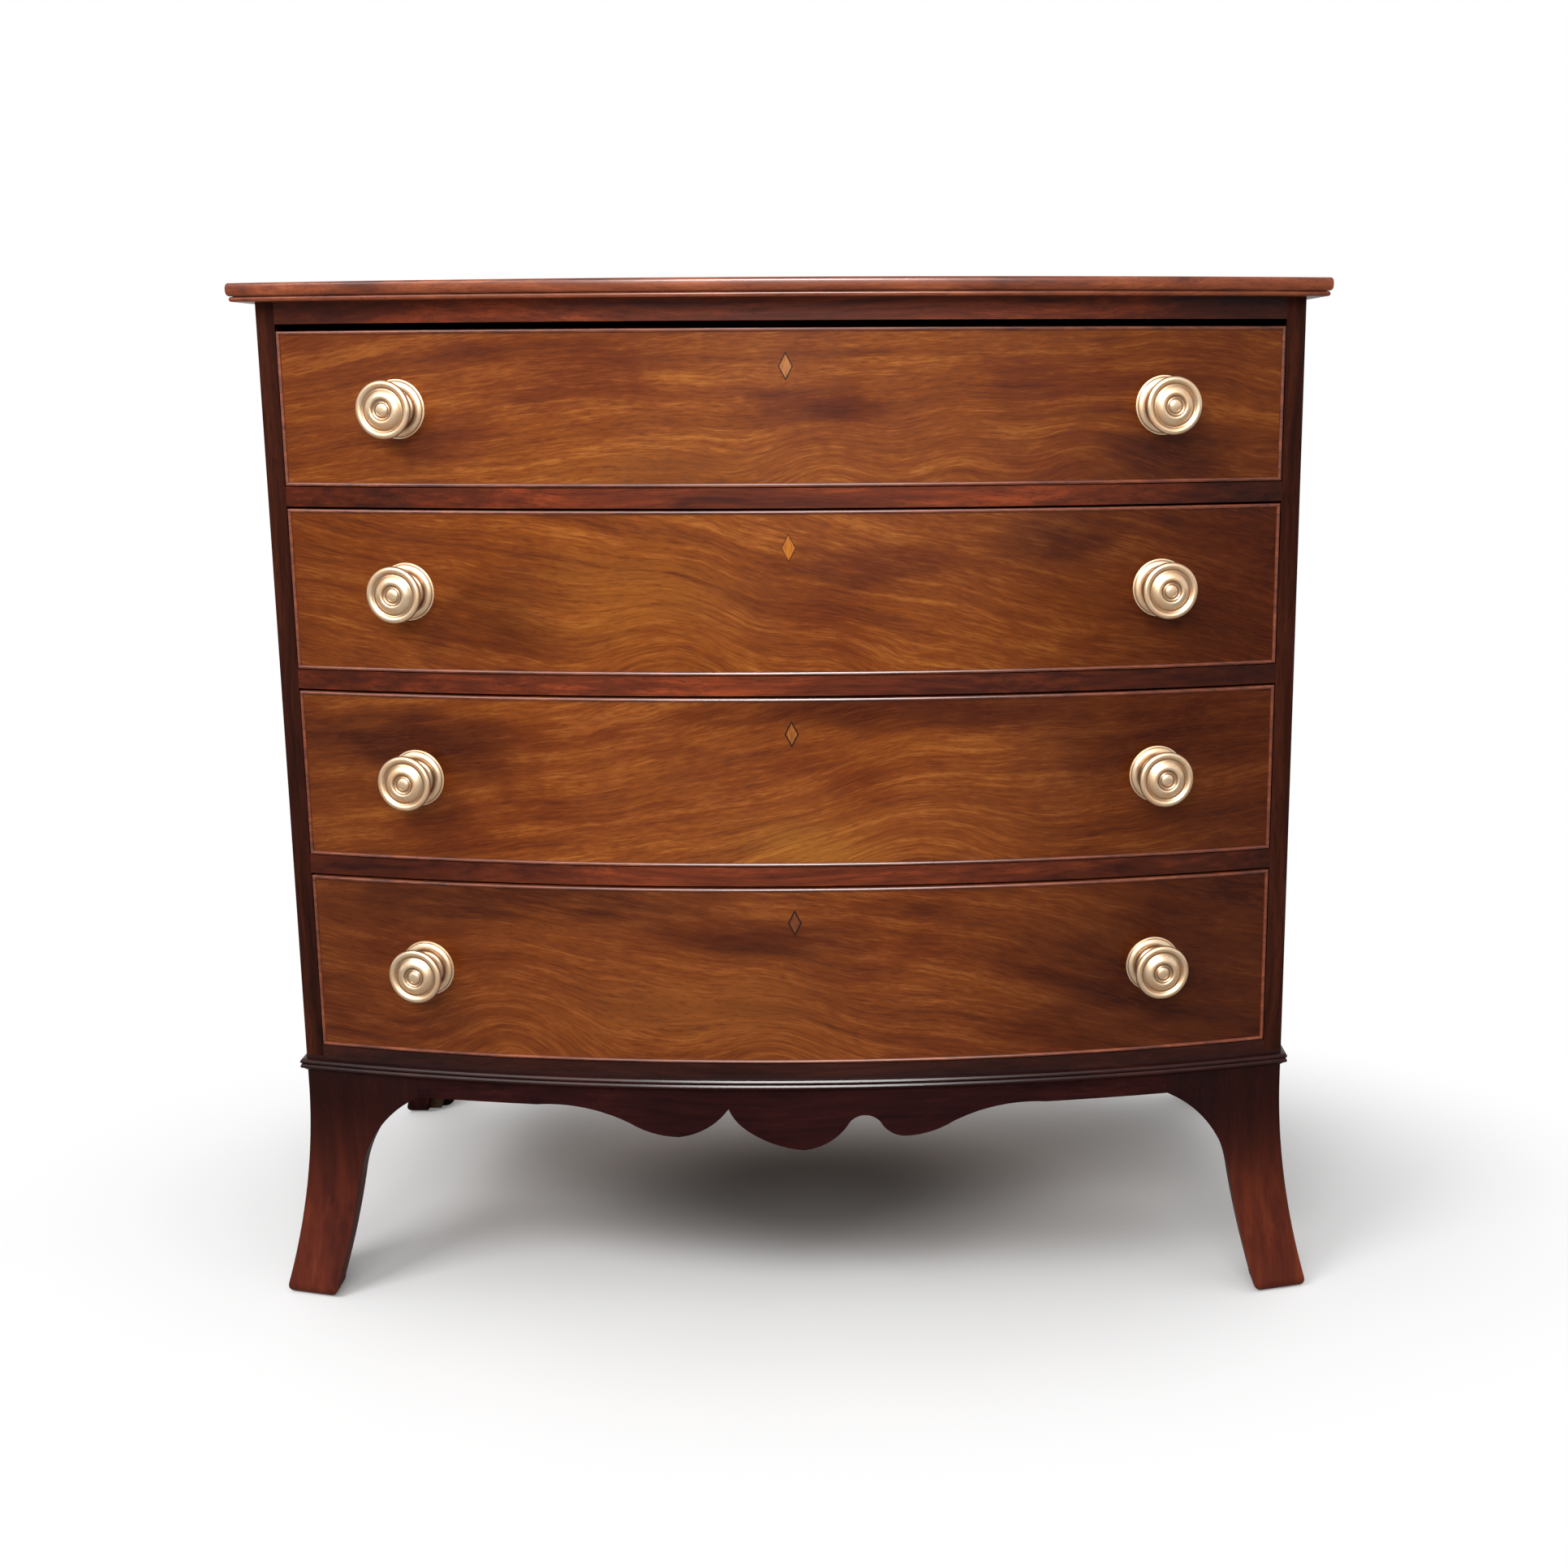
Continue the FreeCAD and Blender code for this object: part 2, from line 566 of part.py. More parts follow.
def front_foot():
    """Right front foot: two splayed brackets mitred together, and the glue block behind them."""
    front_ways = bracket_face(HALF_WIDTH, -1, kicked=True)
    side_ways = bracket_face(CORNER_Y, 1, kicked=True)
    wedge = in_front_of_mitres()
    y_room = (CORNER_Y - 2 * BOW_RISE, CORNER_Y + 2 * BRACKET_REACH)
    x_room = (HALF_WIDTH - 2 * BRACKET_REACH, HALF_WIDTH + 2 * BRACKET_REACH)

    inner_bow = BOW_RADIUS - BRACKET_THICKNESS
    bowed = round_the_bow(splayed_face(BOW_RADIUS, inner_bow))
    front = bowed.common(along_y(front_ways, *y_room)).common(wedge)

    inner_side = HALF_WIDTH - BRACKET_THICKNESS
    straight = along_y(splayed_face(HALF_WIDTH, inner_side), *y_room)
    side = straight.common(along_x(side_ways, *x_room)).cut(wedge)

    bowed_block = round_the_bow(behind_face(inner_bow, BLOCK_WIDTH, BLOCK_LIFT))
    block = bowed_block.common(along_y(behind_face(inner_side, BLOCK_WIDTH, BLOCK_LIFT), *y_room))
    return front, side, block


def back_foot():
    """Right back foot: splayed to the side only, so that the chest stands close to a wall."""
    inner_side = HALF_WIDTH - BRACKET_THICKNESS
    inner_back = BACK_Y - BRACKET_THICKNESS
    y_room = (BACK_Y - 2 * BRACKET_REACH, BACK_Y)
    x_room = (HALF_WIDTH - 2 * BRACKET_REACH, HALF_WIDTH + 2 * BRACKET_REACH)

    straight = along_y(splayed_face(HALF_WIDTH, inner_side), *y_room)
    side = straight.common(along_x(bracket_face(BACK_Y, -1, kicked=False), *x_room))

    back = along_y(bracket_face(HALF_WIDTH, -1, kicked=True), inner_back, BACK_Y)
    back = back.common(along_y(behind_face(inner_side, 2 * BRACKET_REACH, 0.0), *y_room))

    block = along_y(behind_face(inner_side, BLOCK_WIDTH, BLOCK_LIFT),
                    inner_back - BLOCK_WIDTH, inner_back)
    return side, back, block


# ---- A drawer --------------------------------------------------------------------------

def bead_solids(level):
    """The four cock beads round a drawer front: top, bottom, left and right, mitred in front.

    The upper and lower ones cover the whole thickness of the front, and the upright ones lie
    in rebates.
    """
    outer, inner = HALF_DRAWER, HALF_DRAWER - COCK_BEAD
    low, high = level.bottom, level.top
    rebate_y = bow_y(outer, BOW_RADIUS - COCK_BEAD_DEPTH)
    nose = BOW_RADIUS + COCK_BEAD_PROUD

    mitres = outline((inner, low + COCK_BEAD), ((outer, low),), ((outer, high),),
                     ((inner, high - COCK_BEAD),))
    rebate = along_y(mitres, CORNER_Y - 2 * BOW_RISE, rebate_y)
    section = [V(inner, rebate_y, low), V(inner, bow_y(inner, nose), low),
               V(outer, bow_y(outer, nose), low), V(outer, rebate_y, low)]
    upright = upward(Part.Face(Part.makePolygon(section + section[:1])).extrude(V(0, 0, high - low)))
    right = upright.common(rebate)

    lying = [bowed_shell(outer, nose, FRONT_INNER_RADIUS, (bottom, bottom + COCK_BEAD))
             for bottom in (high - COCK_BEAD, low)]
    mitred = [strip.cut(rebate).cut(mirrored(rebate)) for strip in lying]
    return mitred + [mirrored(right), right]


def tails(count, low, high, y_narrow, y_wide, x_range):
    """Row of dovetails up a drawer side's end, widening from one Y to the other."""
    pitch = (high - low) / count
    wide = (pitch - PIN_TIP) / 2
    narrow = wide - abs(y_wide - y_narrow) * TAIL_SLOPE
    row = []
    for number in range(count):
        middle = low + (number + 0.5) * pitch
        face = outline((y_narrow, middle - narrow), ((y_wide, middle - wide),),
                       ((y_wide, middle + wide),), ((y_narrow, middle + narrow),))
        row.append(along_x(face, *x_range))
    return Part.makeCompound(row)


def knob_frame(side):
    """Placement of a knob: its own +Z out of the drawer, square to the bow."""
    x = side * KNOB_OFFSET
    outward = V(x / BOW_RADIUS, -math.sqrt(1 - (x / BOW_RADIUS) ** 2), 0)
    return FreeCAD.Placement(V(x, bow_y(x), 0), FreeCAD.Rotation(V(0, 0, 1), outward))


def knob_face():
    """Half section of a turned knob: flange, neck, and a disc that widens to its front."""
    disc_back = KNOB_REACH - DISC_THICKNESS
    return outline((0, 0), ((FLANGE_RADIUS, 0),), ((FLANGE_FACE_RADIUS, FLANGE_THICKNESS),),
                   ((NECK_RADIUS, FLANGE_THICKNESS),), ((NECK_RADIUS, disc_back),),
                   ((DISC_BACK_RADIUS, disc_back),), ((KNOB_RADIUS, KNOB_REACH),),
                   ((0, KNOB_REACH),))


def spigot(width, length, front=0.0):
    """Square spigot behind a knob's seat, or the mortise for it, in the knob's own frame."""
    return Part.makeBox(width, width, length + front, V(-width / 2, -width / 2, -length))


def knob(side, height):
    """Turned knob, seated on the drawer face, with a square spigot let into it."""
    turned = upward(knob_face().revolve(V(0, 0, 0), V(0, 0, 1), 360))
    whole = turned.fuse(spigot(SPIGOT_WIDTH, SPIGOT_LENGTH, FLANGE_THICKNESS))
    whole.Placement = knob_frame(side)
    return whole.translated(V(0, 0, height))


def knob_mortise(side, height):
    """Blind square mortise for a knob's spigot."""
    hole = spigot(SPIGOT_WIDTH + 2 * SPIGOT_CLEARANCE, SPIGOT_LENGTH + SPIGOT_CLEARANCE, KNOB_REACH)
    hole.Placement = knob_frame(side)
    return hole.translated(V(0, 0, height))


def lozenge(level):
    """Diamond inlay let into the drawer face, flush with it."""
    middle = level.top - LOZENGE_DROP
    half_width, half_height = LOZENGE_WIDTH / 2, LOZENGE_HEIGHT / 2
    face = outline((0, middle - half_height), ((half_width, middle),),
                   ((0, middle + half_height),), ((-half_width, middle),))
    skin = bowed_shell(LOZENGE_OFFSET + LOZENGE_WIDTH, BOW_RADIUS, BOW_RADIUS - LOZENGE_THICKNESS,
                       (level.bottom, level.top))
    diamond = along_y(face, CORNER_Y - 2 * BOW_RISE, CORNER_Y)
    return skin.common(diamond.translated(V(LOZENGE_OFFSET, 0, 0)))


def drawer(level):
    """Every piece of one drawer, by name."""
    side_low = level.bearing + BEARING_GAP
    side_high = level.top - DRAWER_SIDE_DROP
    board_low = side_low + DRAWER_BOTTOM_RISE
    board_high = board_low + DRAWER_BOTTOM_THICKNESS
    knob_height = (level.bottom + level.top) / 2
    x_range = (HALF_INSIDE, HALF_DRAWER)
    tail_count = max(LEAST_TAILS, round((side_high - side_low) / TAIL_PITCH))

    bottom = bowed_board(HALF_INSIDE + DRAWER_GROOVE, FRONT_INNER_RADIUS + DRAWER_GROOVE,
                         DRAWER_BACK_Y, (board_low, board_high))

    root_y = bow_y(HALF_DRAWER, FRONT_INNER_RADIUS)
    lap_y = bow_y(HALF_DRAWER, BOW_RADIUS - COCK_BEAD_DEPTH)
    front_tails = tails(tail_count, level.bottom + COCK_BEAD, side_high, root_y, lap_y, x_range)

    inner_y = DRAWER_BACK_Y - DRAWER_BACK_THICKNESS
    back_high = side_high - DRAWER_BACK_DROP
    back_tails = tails(tail_count, board_high, back_high, inner_y, DRAWER_BACK_Y, x_range)
    back = board((-HALF_DRAWER, HALF_DRAWER), (inner_y, DRAWER_BACK_Y), (board_high, back_high))
    back = back.cut(back_tails).cut(mirrored(back_tails))

    beads = bead_solids(level)
    inlay = lozenge(level)
    mortises = [knob_mortise(side, knob_height) for side in LEFT_RIGHT]
    front = bowed_shell(HALF_DRAWER, BOW_RADIUS, FRONT_INNER_RADIUS, (level.bottom, level.top))
    flat = board(x_range, (lap_y, root_y), (level.bottom + COCK_BEAD, level.top - COCK_BEAD))
    front = front.fuse(flat).fuse(mirrored(flat)).removeSplitter()
    for piece in beads + [front_tails, mirrored(front_tails), bottom, inlay] + mortises:
        front = front.cut(piece)

    side_right = board(x_range, (root_y, DRAWER_BACK_Y), (side_low, side_high))
    side_right = side_right.fuse(front_tails).cut(back).cut(bottom).removeSplitter()

    return {
        "front": front,
        "cock_beads": Part.makeCompound(beads),
        "side_left": mirrored(side_right),
        "side_right": side_right,
        "back": back,
        "bottom": bottom,
        "knobs": Part.makeCompound([knob(side, knob_height) for side in LEFT_RIGHT]),
        "lozenge": inlay,
    }


# ---- The whole chest -------------------------------------------------------------------

def carcase():
    """Every fixed piece of the chest, by name."""
    dividers = divider_ranges()
    rails = {"top_front_rail": rail((LEVELS[0].ceiling, CASE_TOP)),
             "bottom_front_rail": rail((LEG_HEIGHT, BOTTOM_RAIL_TOP))}
    for number, z_range in enumerate(dividers, start=1):
        rails[f"divider_rail_{number}"] = rail(z_range).cut(dust_board(z_range)).cut(
            Part.makeCompound([runner(z_range), mirrored(runner(z_range))]))
    runners = [runner(z_range) for z_range in dividers] + [bottom_runner()]
    backs = back_boards()
    fixed = {"top_back_rail": top_back_rail(), "carcase_bottom": case_bottom()}
    joined = Part.makeCompound(list(rails.values()) + runners + backs + list(fixed.values()))
    sides = both_sides(lambda: case_side(joined))
    side_mouldings = both_sides(base_moulding_side)
    skirts = both_sides(side_skirt)

    front, front_side, front_block = front_foot()
    back_side, back, back_block = back_foot()
    blocks = [front_block, back_block]
    nodes = {
        "top_board": top_board(),
        "side_left": sides["left"],
        "side_right": sides["right"],
        **rails,
        **fixed,
        "dust_boards": Part.makeCompound([dust_board(z_range) for z_range in dividers]),
        "drawer_runners": Part.makeCompound(runners + [mirrored(r) for r in runners]),
        "top_kickers": Part.makeCompound([kicker(), mirrored(kicker())]),
        "drawer_stops": Part.makeCompound(drawer_stops()),
        "back_boards": Part.makeCompound(backs),
        "base_moulding_front": base_moulding_front(),
        "base_moulding_sides": Part.makeCompound(list(side_mouldings.values())),
        "apron": apron(),
        "side_skirts": Part.makeCompound(list(skirts.values())),
        "front_feet": Part.makeCompound([mirrored(front), mirrored(front_side), front, front_side]),
        "back_feet": Part.makeCompound([mirrored(back_side), mirrored(back), back_side, back]),
        "foot_blocks": Part.makeCompound(blocks + [mirrored(block) for block in blocks]),
    }
    return nodes


def main():
    """Make every piece and write one STEP file for each node."""
    nodes = carcase()
    for number, level in enumerate(LEVELS, start=1):
        for name, shape in drawer(level).items():
            nodes[f"drawer_{number}_{name}"] = shape
    os.makedirs("parts", exist_ok=True)
    for name, shape in nodes.items():
        shape.exportStep(f"parts/{name}.step")
    print(len(nodes), "nodes,", sum(len(shape.Solids) for shape in nodes.values()), "solids")


main()
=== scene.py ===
"""Bow front chest of four long drawers: its looks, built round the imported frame.

Each sub-assembly is a class that makes its own meshes and dresses them, and each finish is a
small frozen class that makes a material. Every length is in metres unless its name, or the
text of its class, says mm.
"""

import json
import logging
import math
from dataclasses import dataclass, field
from enum import Enum
from typing import Any, Callable, Iterable, Optional, Sequence, Union

import bmesh
import bpy
from mathutils import Matrix, Vector

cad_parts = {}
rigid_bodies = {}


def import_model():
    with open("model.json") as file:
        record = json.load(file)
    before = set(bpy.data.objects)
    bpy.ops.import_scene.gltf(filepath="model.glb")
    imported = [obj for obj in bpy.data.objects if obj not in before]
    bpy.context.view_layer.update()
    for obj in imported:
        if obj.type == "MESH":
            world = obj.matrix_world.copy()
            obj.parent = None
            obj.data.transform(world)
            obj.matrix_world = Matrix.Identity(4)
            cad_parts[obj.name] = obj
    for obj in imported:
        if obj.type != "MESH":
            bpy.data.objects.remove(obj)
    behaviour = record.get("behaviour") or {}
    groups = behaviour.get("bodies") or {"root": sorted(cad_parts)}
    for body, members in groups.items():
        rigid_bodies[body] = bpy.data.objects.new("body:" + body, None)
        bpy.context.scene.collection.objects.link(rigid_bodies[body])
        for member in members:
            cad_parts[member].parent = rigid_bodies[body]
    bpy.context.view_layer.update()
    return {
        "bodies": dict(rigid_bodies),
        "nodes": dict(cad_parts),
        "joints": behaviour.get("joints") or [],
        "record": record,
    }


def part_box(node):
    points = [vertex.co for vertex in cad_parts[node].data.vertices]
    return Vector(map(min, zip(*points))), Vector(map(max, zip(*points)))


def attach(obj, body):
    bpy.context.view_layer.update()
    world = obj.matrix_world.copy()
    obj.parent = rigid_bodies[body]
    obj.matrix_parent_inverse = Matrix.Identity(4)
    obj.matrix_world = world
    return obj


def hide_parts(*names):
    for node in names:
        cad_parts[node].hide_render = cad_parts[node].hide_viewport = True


LOG = logging.getLogger("chest")
MM = 0.001
PICTURE_SIZE = 1932
# Points closer than this become one, and angles closer than this count as the same.
WELD = 0.002 * MM
SAME_ANGLE = 1e-9
SHARP_DEGREES = 32.0
# Sockets of the Mix node: its factor, the two numbers, the two colours and the result.
MIX_FACTOR, MIX_LOW, MIX_HIGH, MIX_A, MIX_B, MIX_RESULT = 0, 2, 3, 6, 7, 2

Tree = bpy.types.NodeTree
Node = bpy.types.Node
Socket = bpy.types.NodeSocket
Material = bpy.types.Material
Mesh = bpy.types.Mesh
Piece = bpy.types.Object
Pair = tuple[float, float]
Triple = tuple[float, float, float]
Section = Sequence[Pair]
Ring = list[tuple[Vector, float]]
Colour = Union[str, Socket]


# ---- Nodes and colours -----------------------------------------------------------------

class Way(Enum):
    """How one colour is laid over another."""

    MIX = "MIX"
    MULTIPLY = "MULTIPLY"


def add(tree: Tree, kind: str, inputs: Optional[dict] = None, **choices: Any) -> Node:
    """Add a node.

    Args:
        tree: The node tree.
        kind: The node's type name.
        inputs: What goes into its sockets, by name or number: a value, or a socket to join.
        choices: The node's own options.

    Returns:
        The new node.
    """
    node = tree.nodes.new(kind)
    for option, value in choices.items():
        setattr(node, option, value)
    for socket, value in (inputs or {}).items():
        if isinstance(value, Socket):
            tree.links.new(value, node.inputs[socket])
        else:
            node.inputs[socket].default_value = value
    return node


def work_out(tree: Tree, formula: Any) -> Any:
    """Turn a nested formula, such as ("FLOOR", ("DIVIDE", index, 2.0)), into nodes.

    Args:
        tree: The node tree.
        formula: A socket, a number, or the name of an operation and what it works on.

    Returns:
        The socket with the result, or the number itself.
    """
    if not isinstance(formula, tuple):
        return formula
    way, *values = formula
    inputs = {number: work_out(tree, value) for number, value in enumerate(values)}
    return add(tree, "ShaderNodeMath", inputs, operation=way).outputs[0]


def linear(hex_colour: str) -> tuple[float, float, float, float]:
    """Turn an sRGB hex colour into linear light.

    Args:
        hex_colour: The colour, such as "#8c4614".

    Returns:
        Red, green, blue and an alpha of one.
    """
    values = [int(hex_colour[i:i + 2], 16) / 255 for i in (1, 3, 5)]
    return tuple(v / 12.92 if v <= 0.04045 else ((v + 0.055) / 1.055) ** 2.4
                 for v in values) + (1.0,)


def share(tree: Tree, source: Socket, low: float, high: float, bottom: float = 0.0,
          top: float = 1.0) -> Socket:
    """Ease a value between two limits into another range.

    Args:
        tree: The node tree.
        source: The value.
        low: Where the ramp starts.
        high: Where it ends.
        bottom: Result at the start.
        top: Result at the end.

    Returns:
        The socket with the result.
    """
    ramp = add(tree, "ShaderNodeMapRange",
               {"Value": source, "From Min": low, "From Max": high, "To Min": bottom,
                "To Max": top}, interpolation_type="SMOOTHSTEP")
    return ramp.outputs["Result"]


def blend(tree: Tree, factor: Socket, first: Colour, second: Colour,
          way: Way = Way.MIX) -> Socket:
    """Lay one colour over another, each a hex colour or a socket.

    Args:
        tree: The node tree.
        factor: How much of the second colour.
        first: The colour beneath.
        second: The colour laid over it.
        way: How it is laid.

    Returns:
        The socket with the colour.
    """
    beneath, above = (linear(colour) if isinstance(colour, str) else colour
                      for colour in (first, second))
    node = add(tree, "ShaderNodeMix", {MIX_FACTOR: factor, MIX_A: beneath, MIX_B: above},
               data_type="RGBA", blend_type=way.value)
    return node.outputs[MIX_RESULT]


def stretched_noise(tree: Tree, vector: Socket, size: Triple,
                    detail: float = 2.0, roughness: float = 0.5) -> Socket:
    """Noise whose patches have a real size along each axis.

    Args:
        tree: The node tree.
        vector: Coordinates in metres.
        size: Size of a patch along each axis, in metres.
        detail: Octaves.
        roughness: Strength of the finer octaves.

    Returns:
        The socket with the noise, about 0.5 in the middle.
    """
    scaled = add(tree, "ShaderNodeVectorMath", {0: vector, 1: tuple(1 / s for s in size)},
                 operation="MULTIPLY")
    noise = add(tree, "ShaderNodeTexNoise",
                {"Vector": scaled.outputs[0], "Scale": 1.0, "Detail": detail,
                 "Roughness": roughness})
    return noise.outputs["Fac"]


def sums(tree: Tree, parts: Iterable[tuple[Socket, float]], start: float = 0.0) -> Socket:
    """Add up values, each with its weight.

    Args:
        tree: The node tree.
        parts: The values and their weights.
        start: What the sum starts from.

    Returns:
        The socket with the sum.
    """
    total: Any = start
    for source, weight in parts:
        total = work_out(tree, ("MULTIPLY_ADD", source, weight, total))
    return total


# ---- Finishes --------------------------------------------------------------------------

# How often grain sways in one length of its streaks, and how many widths long a pore is.
SWAYS_A_LENGTH = 2.2
PORE_LENGTH = 15
# What noise makes an open pore or a ray, and where a patch's mound counts as full.
OPEN_PORES = (0.66, 0.56)
RAYS = (0.62, 0.7)
PATCH_FULL = 0.7


class Axis(Enum):
    """The way that a piece's grain runs."""

    X = (0, 1, 2)
    Y = (1, 0, 2)
    Z = (2, 0, 1)


@dataclass(frozen=True)
class Polish:
    """How a surface was finished: its gloss, and how unevenly it has worn.

    The roughness wanders by the spread, over patches of a hand's width, as rubbing leaves it.
    """

    roughness: float
    spread: float
    coat: float
    coat_roughness: float
    specular: float
    patch: float = 220.0 * MM
    worn: Pair = (0.35, 0.65)

    def shader(self, tree: Tree, colour: Socket, place: Socket, height: Socket,
               relief: float) -> Node:
        """Make the surface shader.

        Args:
            tree: The material's tree.
            colour: Base colour.
            place: Object coordinates.
            height: Height of the surface for its bump, from 0 to 1.
            relief: What that height of one is in metres.

        Returns:
            The Principled node.
        """
        wear = stretched_noise(tree, place, (self.patch,) * 3, detail=3.0, roughness=0.6)
        rough = share(tree, wear, *self.worn, self.roughness - self.spread,
                      self.roughness + self.spread)
        bump = add(tree, "ShaderNodeBump",
                   {"Strength": 1.0, "Distance": relief, "Height": height})
        return add(tree, "ShaderNodeBsdfPrincipled",
                   {"Base Color": colour, "Roughness": rough, "Normal": bump.outputs["Normal"],
                    "Specular IOR Level": self.specular, "Coat Weight": self.coat,
                    "Coat Roughness": self.coat_roughness})


def new_material(name: str) -> tuple[Material, Tree]:
    """Make an empty node material.

    Args:
        name: The material's name.

    Returns:
        The material and its tree.
    """
    material = bpy.data.materials.new(name)
    material.use_nodes = True
    material.node_tree.nodes.clear()
    return material, material.node_tree


def close_material(tree: Tree, shader: Node) -> None:
    """Join a shader to the material's output."""
    add(tree, "ShaderNodeOutputMaterial", {"Surface": shader.outputs[0]})


@dataclass(frozen=True)
class Timber:
    """Solid wood: broad growth bands, finer streaks and dark pores along its grain.

    Sizes are the real wood's in mm, but for the pores: those are only a tenth or two of a
    millimetre across, too fine to show, so they are drawn about a millimetre across.
    """

    name: str
    pale: str
    middle: str
    dark: str
    polish: Polish
    band_mm: float = 26.0
    streak_mm: float = 5.0
    pore_mm: float = 1.1
    length_mm: float = 420.0
    patch_mm: float = 300.0
    sway: float = 1.2
    weights: Triple = (0.45, 0.40, 0.15)
    to_middle: Pair = (0.36, 0.52)
    to_pale: Pair = (0.49, 0.66)
    pore_depth: float = 0.45
    relief: float = 0.06 * MM
    fleck: float = 0.0
    fleck_mm: Triple = (6.0, 1.6, 14.0)
    board_mm: float = 0.0
    board_shift: Triple = (1.3, 0.71, 0.43)
    # Colours multiplied over each end of the piece: painted shade.
    left_end_painted_shade: str = ""
    right_end_painted_shade: str = ""
    end_painted_shade_mm: Pair = (100.0, 420.0)
    top_darkening: float = 0.0
    top_darkening_mm: Pair = (40.0, 190.0)
    top_darkening_edge_mm: float = 50.0
    top_darkening_colour: str = "#6b5052"

    def lines(self, tree: Tree, split: Node, along: Axis) -> Socket:
        """Make coordinates that run along the grain and sway as it does.

        Args:
            tree: The material's tree.
            split: The node with the three object coordinates.
            along: The way that the grain runs.

        Returns:
            The socket with the coordinates, the first one along the grain.
        """
        grain = add(tree, "ShaderNodeCombineXYZ",
                    {n: split.outputs[axis] for n, axis in enumerate(along.value)})
        if self.board_mm:
            number = work_out(tree, ("FLOOR", ("DIVIDE", split.outputs[0], self.board_mm * MM)))
            grain = add(tree, "ShaderNodeVectorMath",
                        {0: number, 1: self.board_shift, 2: grain.outputs[0]},
                        operation="MULTIPLY_ADD")
        sway = add(tree, "ShaderNodeTexNoise",
                   {"Vector": grain.outputs[0], "Detail": 2.0,
                    "Scale": SWAYS_A_LENGTH / (self.length_mm * MM)})
        aside = self.sway * self.band_mm * MM
        return add(tree, "ShaderNodeVectorMath",
                   {0: sway.outputs["Color"], 1: (0.0, aside, aside), 2: grain.outputs[0]},
                   operation="MULTIPLY_ADD").outputs[0]

    def material(self, along: Axis) -> Material:
        """Make the material with its grain along an axis.

        Args:
            along: The way that the grain runs.

        Returns:
            The material.
        """
        material, tree = new_material(f"{self.name}_{along.name.lower()}")
        place = add(tree, "ShaderNodeTexCoord").outputs["Object"]
        split = add(tree, "ShaderNodeSeparateXYZ", {0: place})
        lines = self.lines(tree, split, along)
        length, band, streak, pore, patch = (
            size * MM for size in (self.length_mm, self.band_mm, self.streak_mm, self.pore_mm,
                                   self.patch_mm))
        bands = stretched_noise(tree, lines, (length, band, band), detail=3.0, roughness=0.55)
        streaks = stretched_noise(tree, lines, (length / 3, streak, streak), detail=4.0,
                                  roughness=0.6)
        pores = stretched_noise(tree, lines, (PORE_LENGTH * pore, pore, pore), detail=1.0)
        patches = stretched_noise(tree, place, (patch, patch, patch))
        tone = sums(tree, zip((bands, streaks, patches), self.weights))
        colour = blend(tree, share(tree, tone, *self.to_middle), self.dark, self.middle)
        colour = blend(tree, share(tree, tone, *self.to_pale), colour, self.pale)
        if self.fleck:
            rays = stretched_noise(tree, lines, tuple(size * MM for size in self.fleck_mm),
                                   detail=1.0)
            fleck = share(tree, rays, *RAYS, 0.0, self.fleck)
            colour = blend(tree, fleck, colour, self.pale)
        # Darker towards the ends: painted shade.
        for shade, side in ((self.left_end_painted_shade, -MM), (self.right_end_painted_shade, MM)):
            if shade:
                out = share(tree, split.outputs[0], *(side * mm for mm in self.end_painted_shade_mm))
                colour = blend(tree, out, colour, shade, Way.MULTIPLY)
        # Darker towards the top, over an edge that wanders with the patches.
        if self.top_darkening:
            edge = self.top_darkening_edge_mm * MM
            high = sums(tree, ((split.outputs[2], 1.0), (patches, edge)), -edge / 2)
            dim = share(tree, high, *(mm * MM for mm in self.top_darkening_mm), 0.0, self.top_darkening)
            colour = blend(tree, dim, colour, self.top_darkening_colour, Way.MULTIPLY)
        open_pores = share(tree, pores, *OPEN_PORES, self.pore_depth, 0.0)
        colour = blend(tree, open_pores, colour, self.dark)
        height = sums(tree, ((streaks, 0.5), (open_pores, -0.5)), 0.5)
        close_material(tree, self.polish.shader(tree, colour, place, height, self.relief))
        return material


@dataclass(frozen=True)
class Place:
    """An oval place on a drawer's face, from the drawer's middle, in mm."""

    x: float
    z: float
    wide: float
    high: float

    def mound(self, tree: Tree, vector: Socket) -> Socket:
        """Make a smooth mound over the place: one high at its middle, nothing past its rim.

        Args:
            tree: The material's tree.
            vector: Coordinates about the drawer's middle.

        Returns:
            The socket with the mound's height.
        """
        about = add(tree, "ShaderNodeMapping",
                    {"Vector": vector, "Location": (self.x * MM, 0.0, self.z * MM),
                     "Scale": (self.wide * MM, 1.0, self.high * MM)}, vector_type="TEXTURE")
        flat = add(tree, "ShaderNodeVectorMath", {0: about.outputs[0], 1: (1.0, 0.0, 1.0)},
                   operation="MULTIPLY")
        mound = add(tree, "ShaderNodeTexGradient", {"Vector": flat.outputs[0]},
                    gradient_type="QUADRATIC_SPHERE")
        return mound.outputs["Fac"]


@dataclass(frozen=True)
class Swirl:
    """A place where the figure curls up over something, as near a fork of the tree."""

    place: Place
    lift_mm: float


@dataclass(frozen=True)
class Patch:
    """A place on the face drawn darker or lighter than round about, with broken edges."""

    place: Place
    colour: str
    strength: float
    way: Way = Way.MULTIPLY


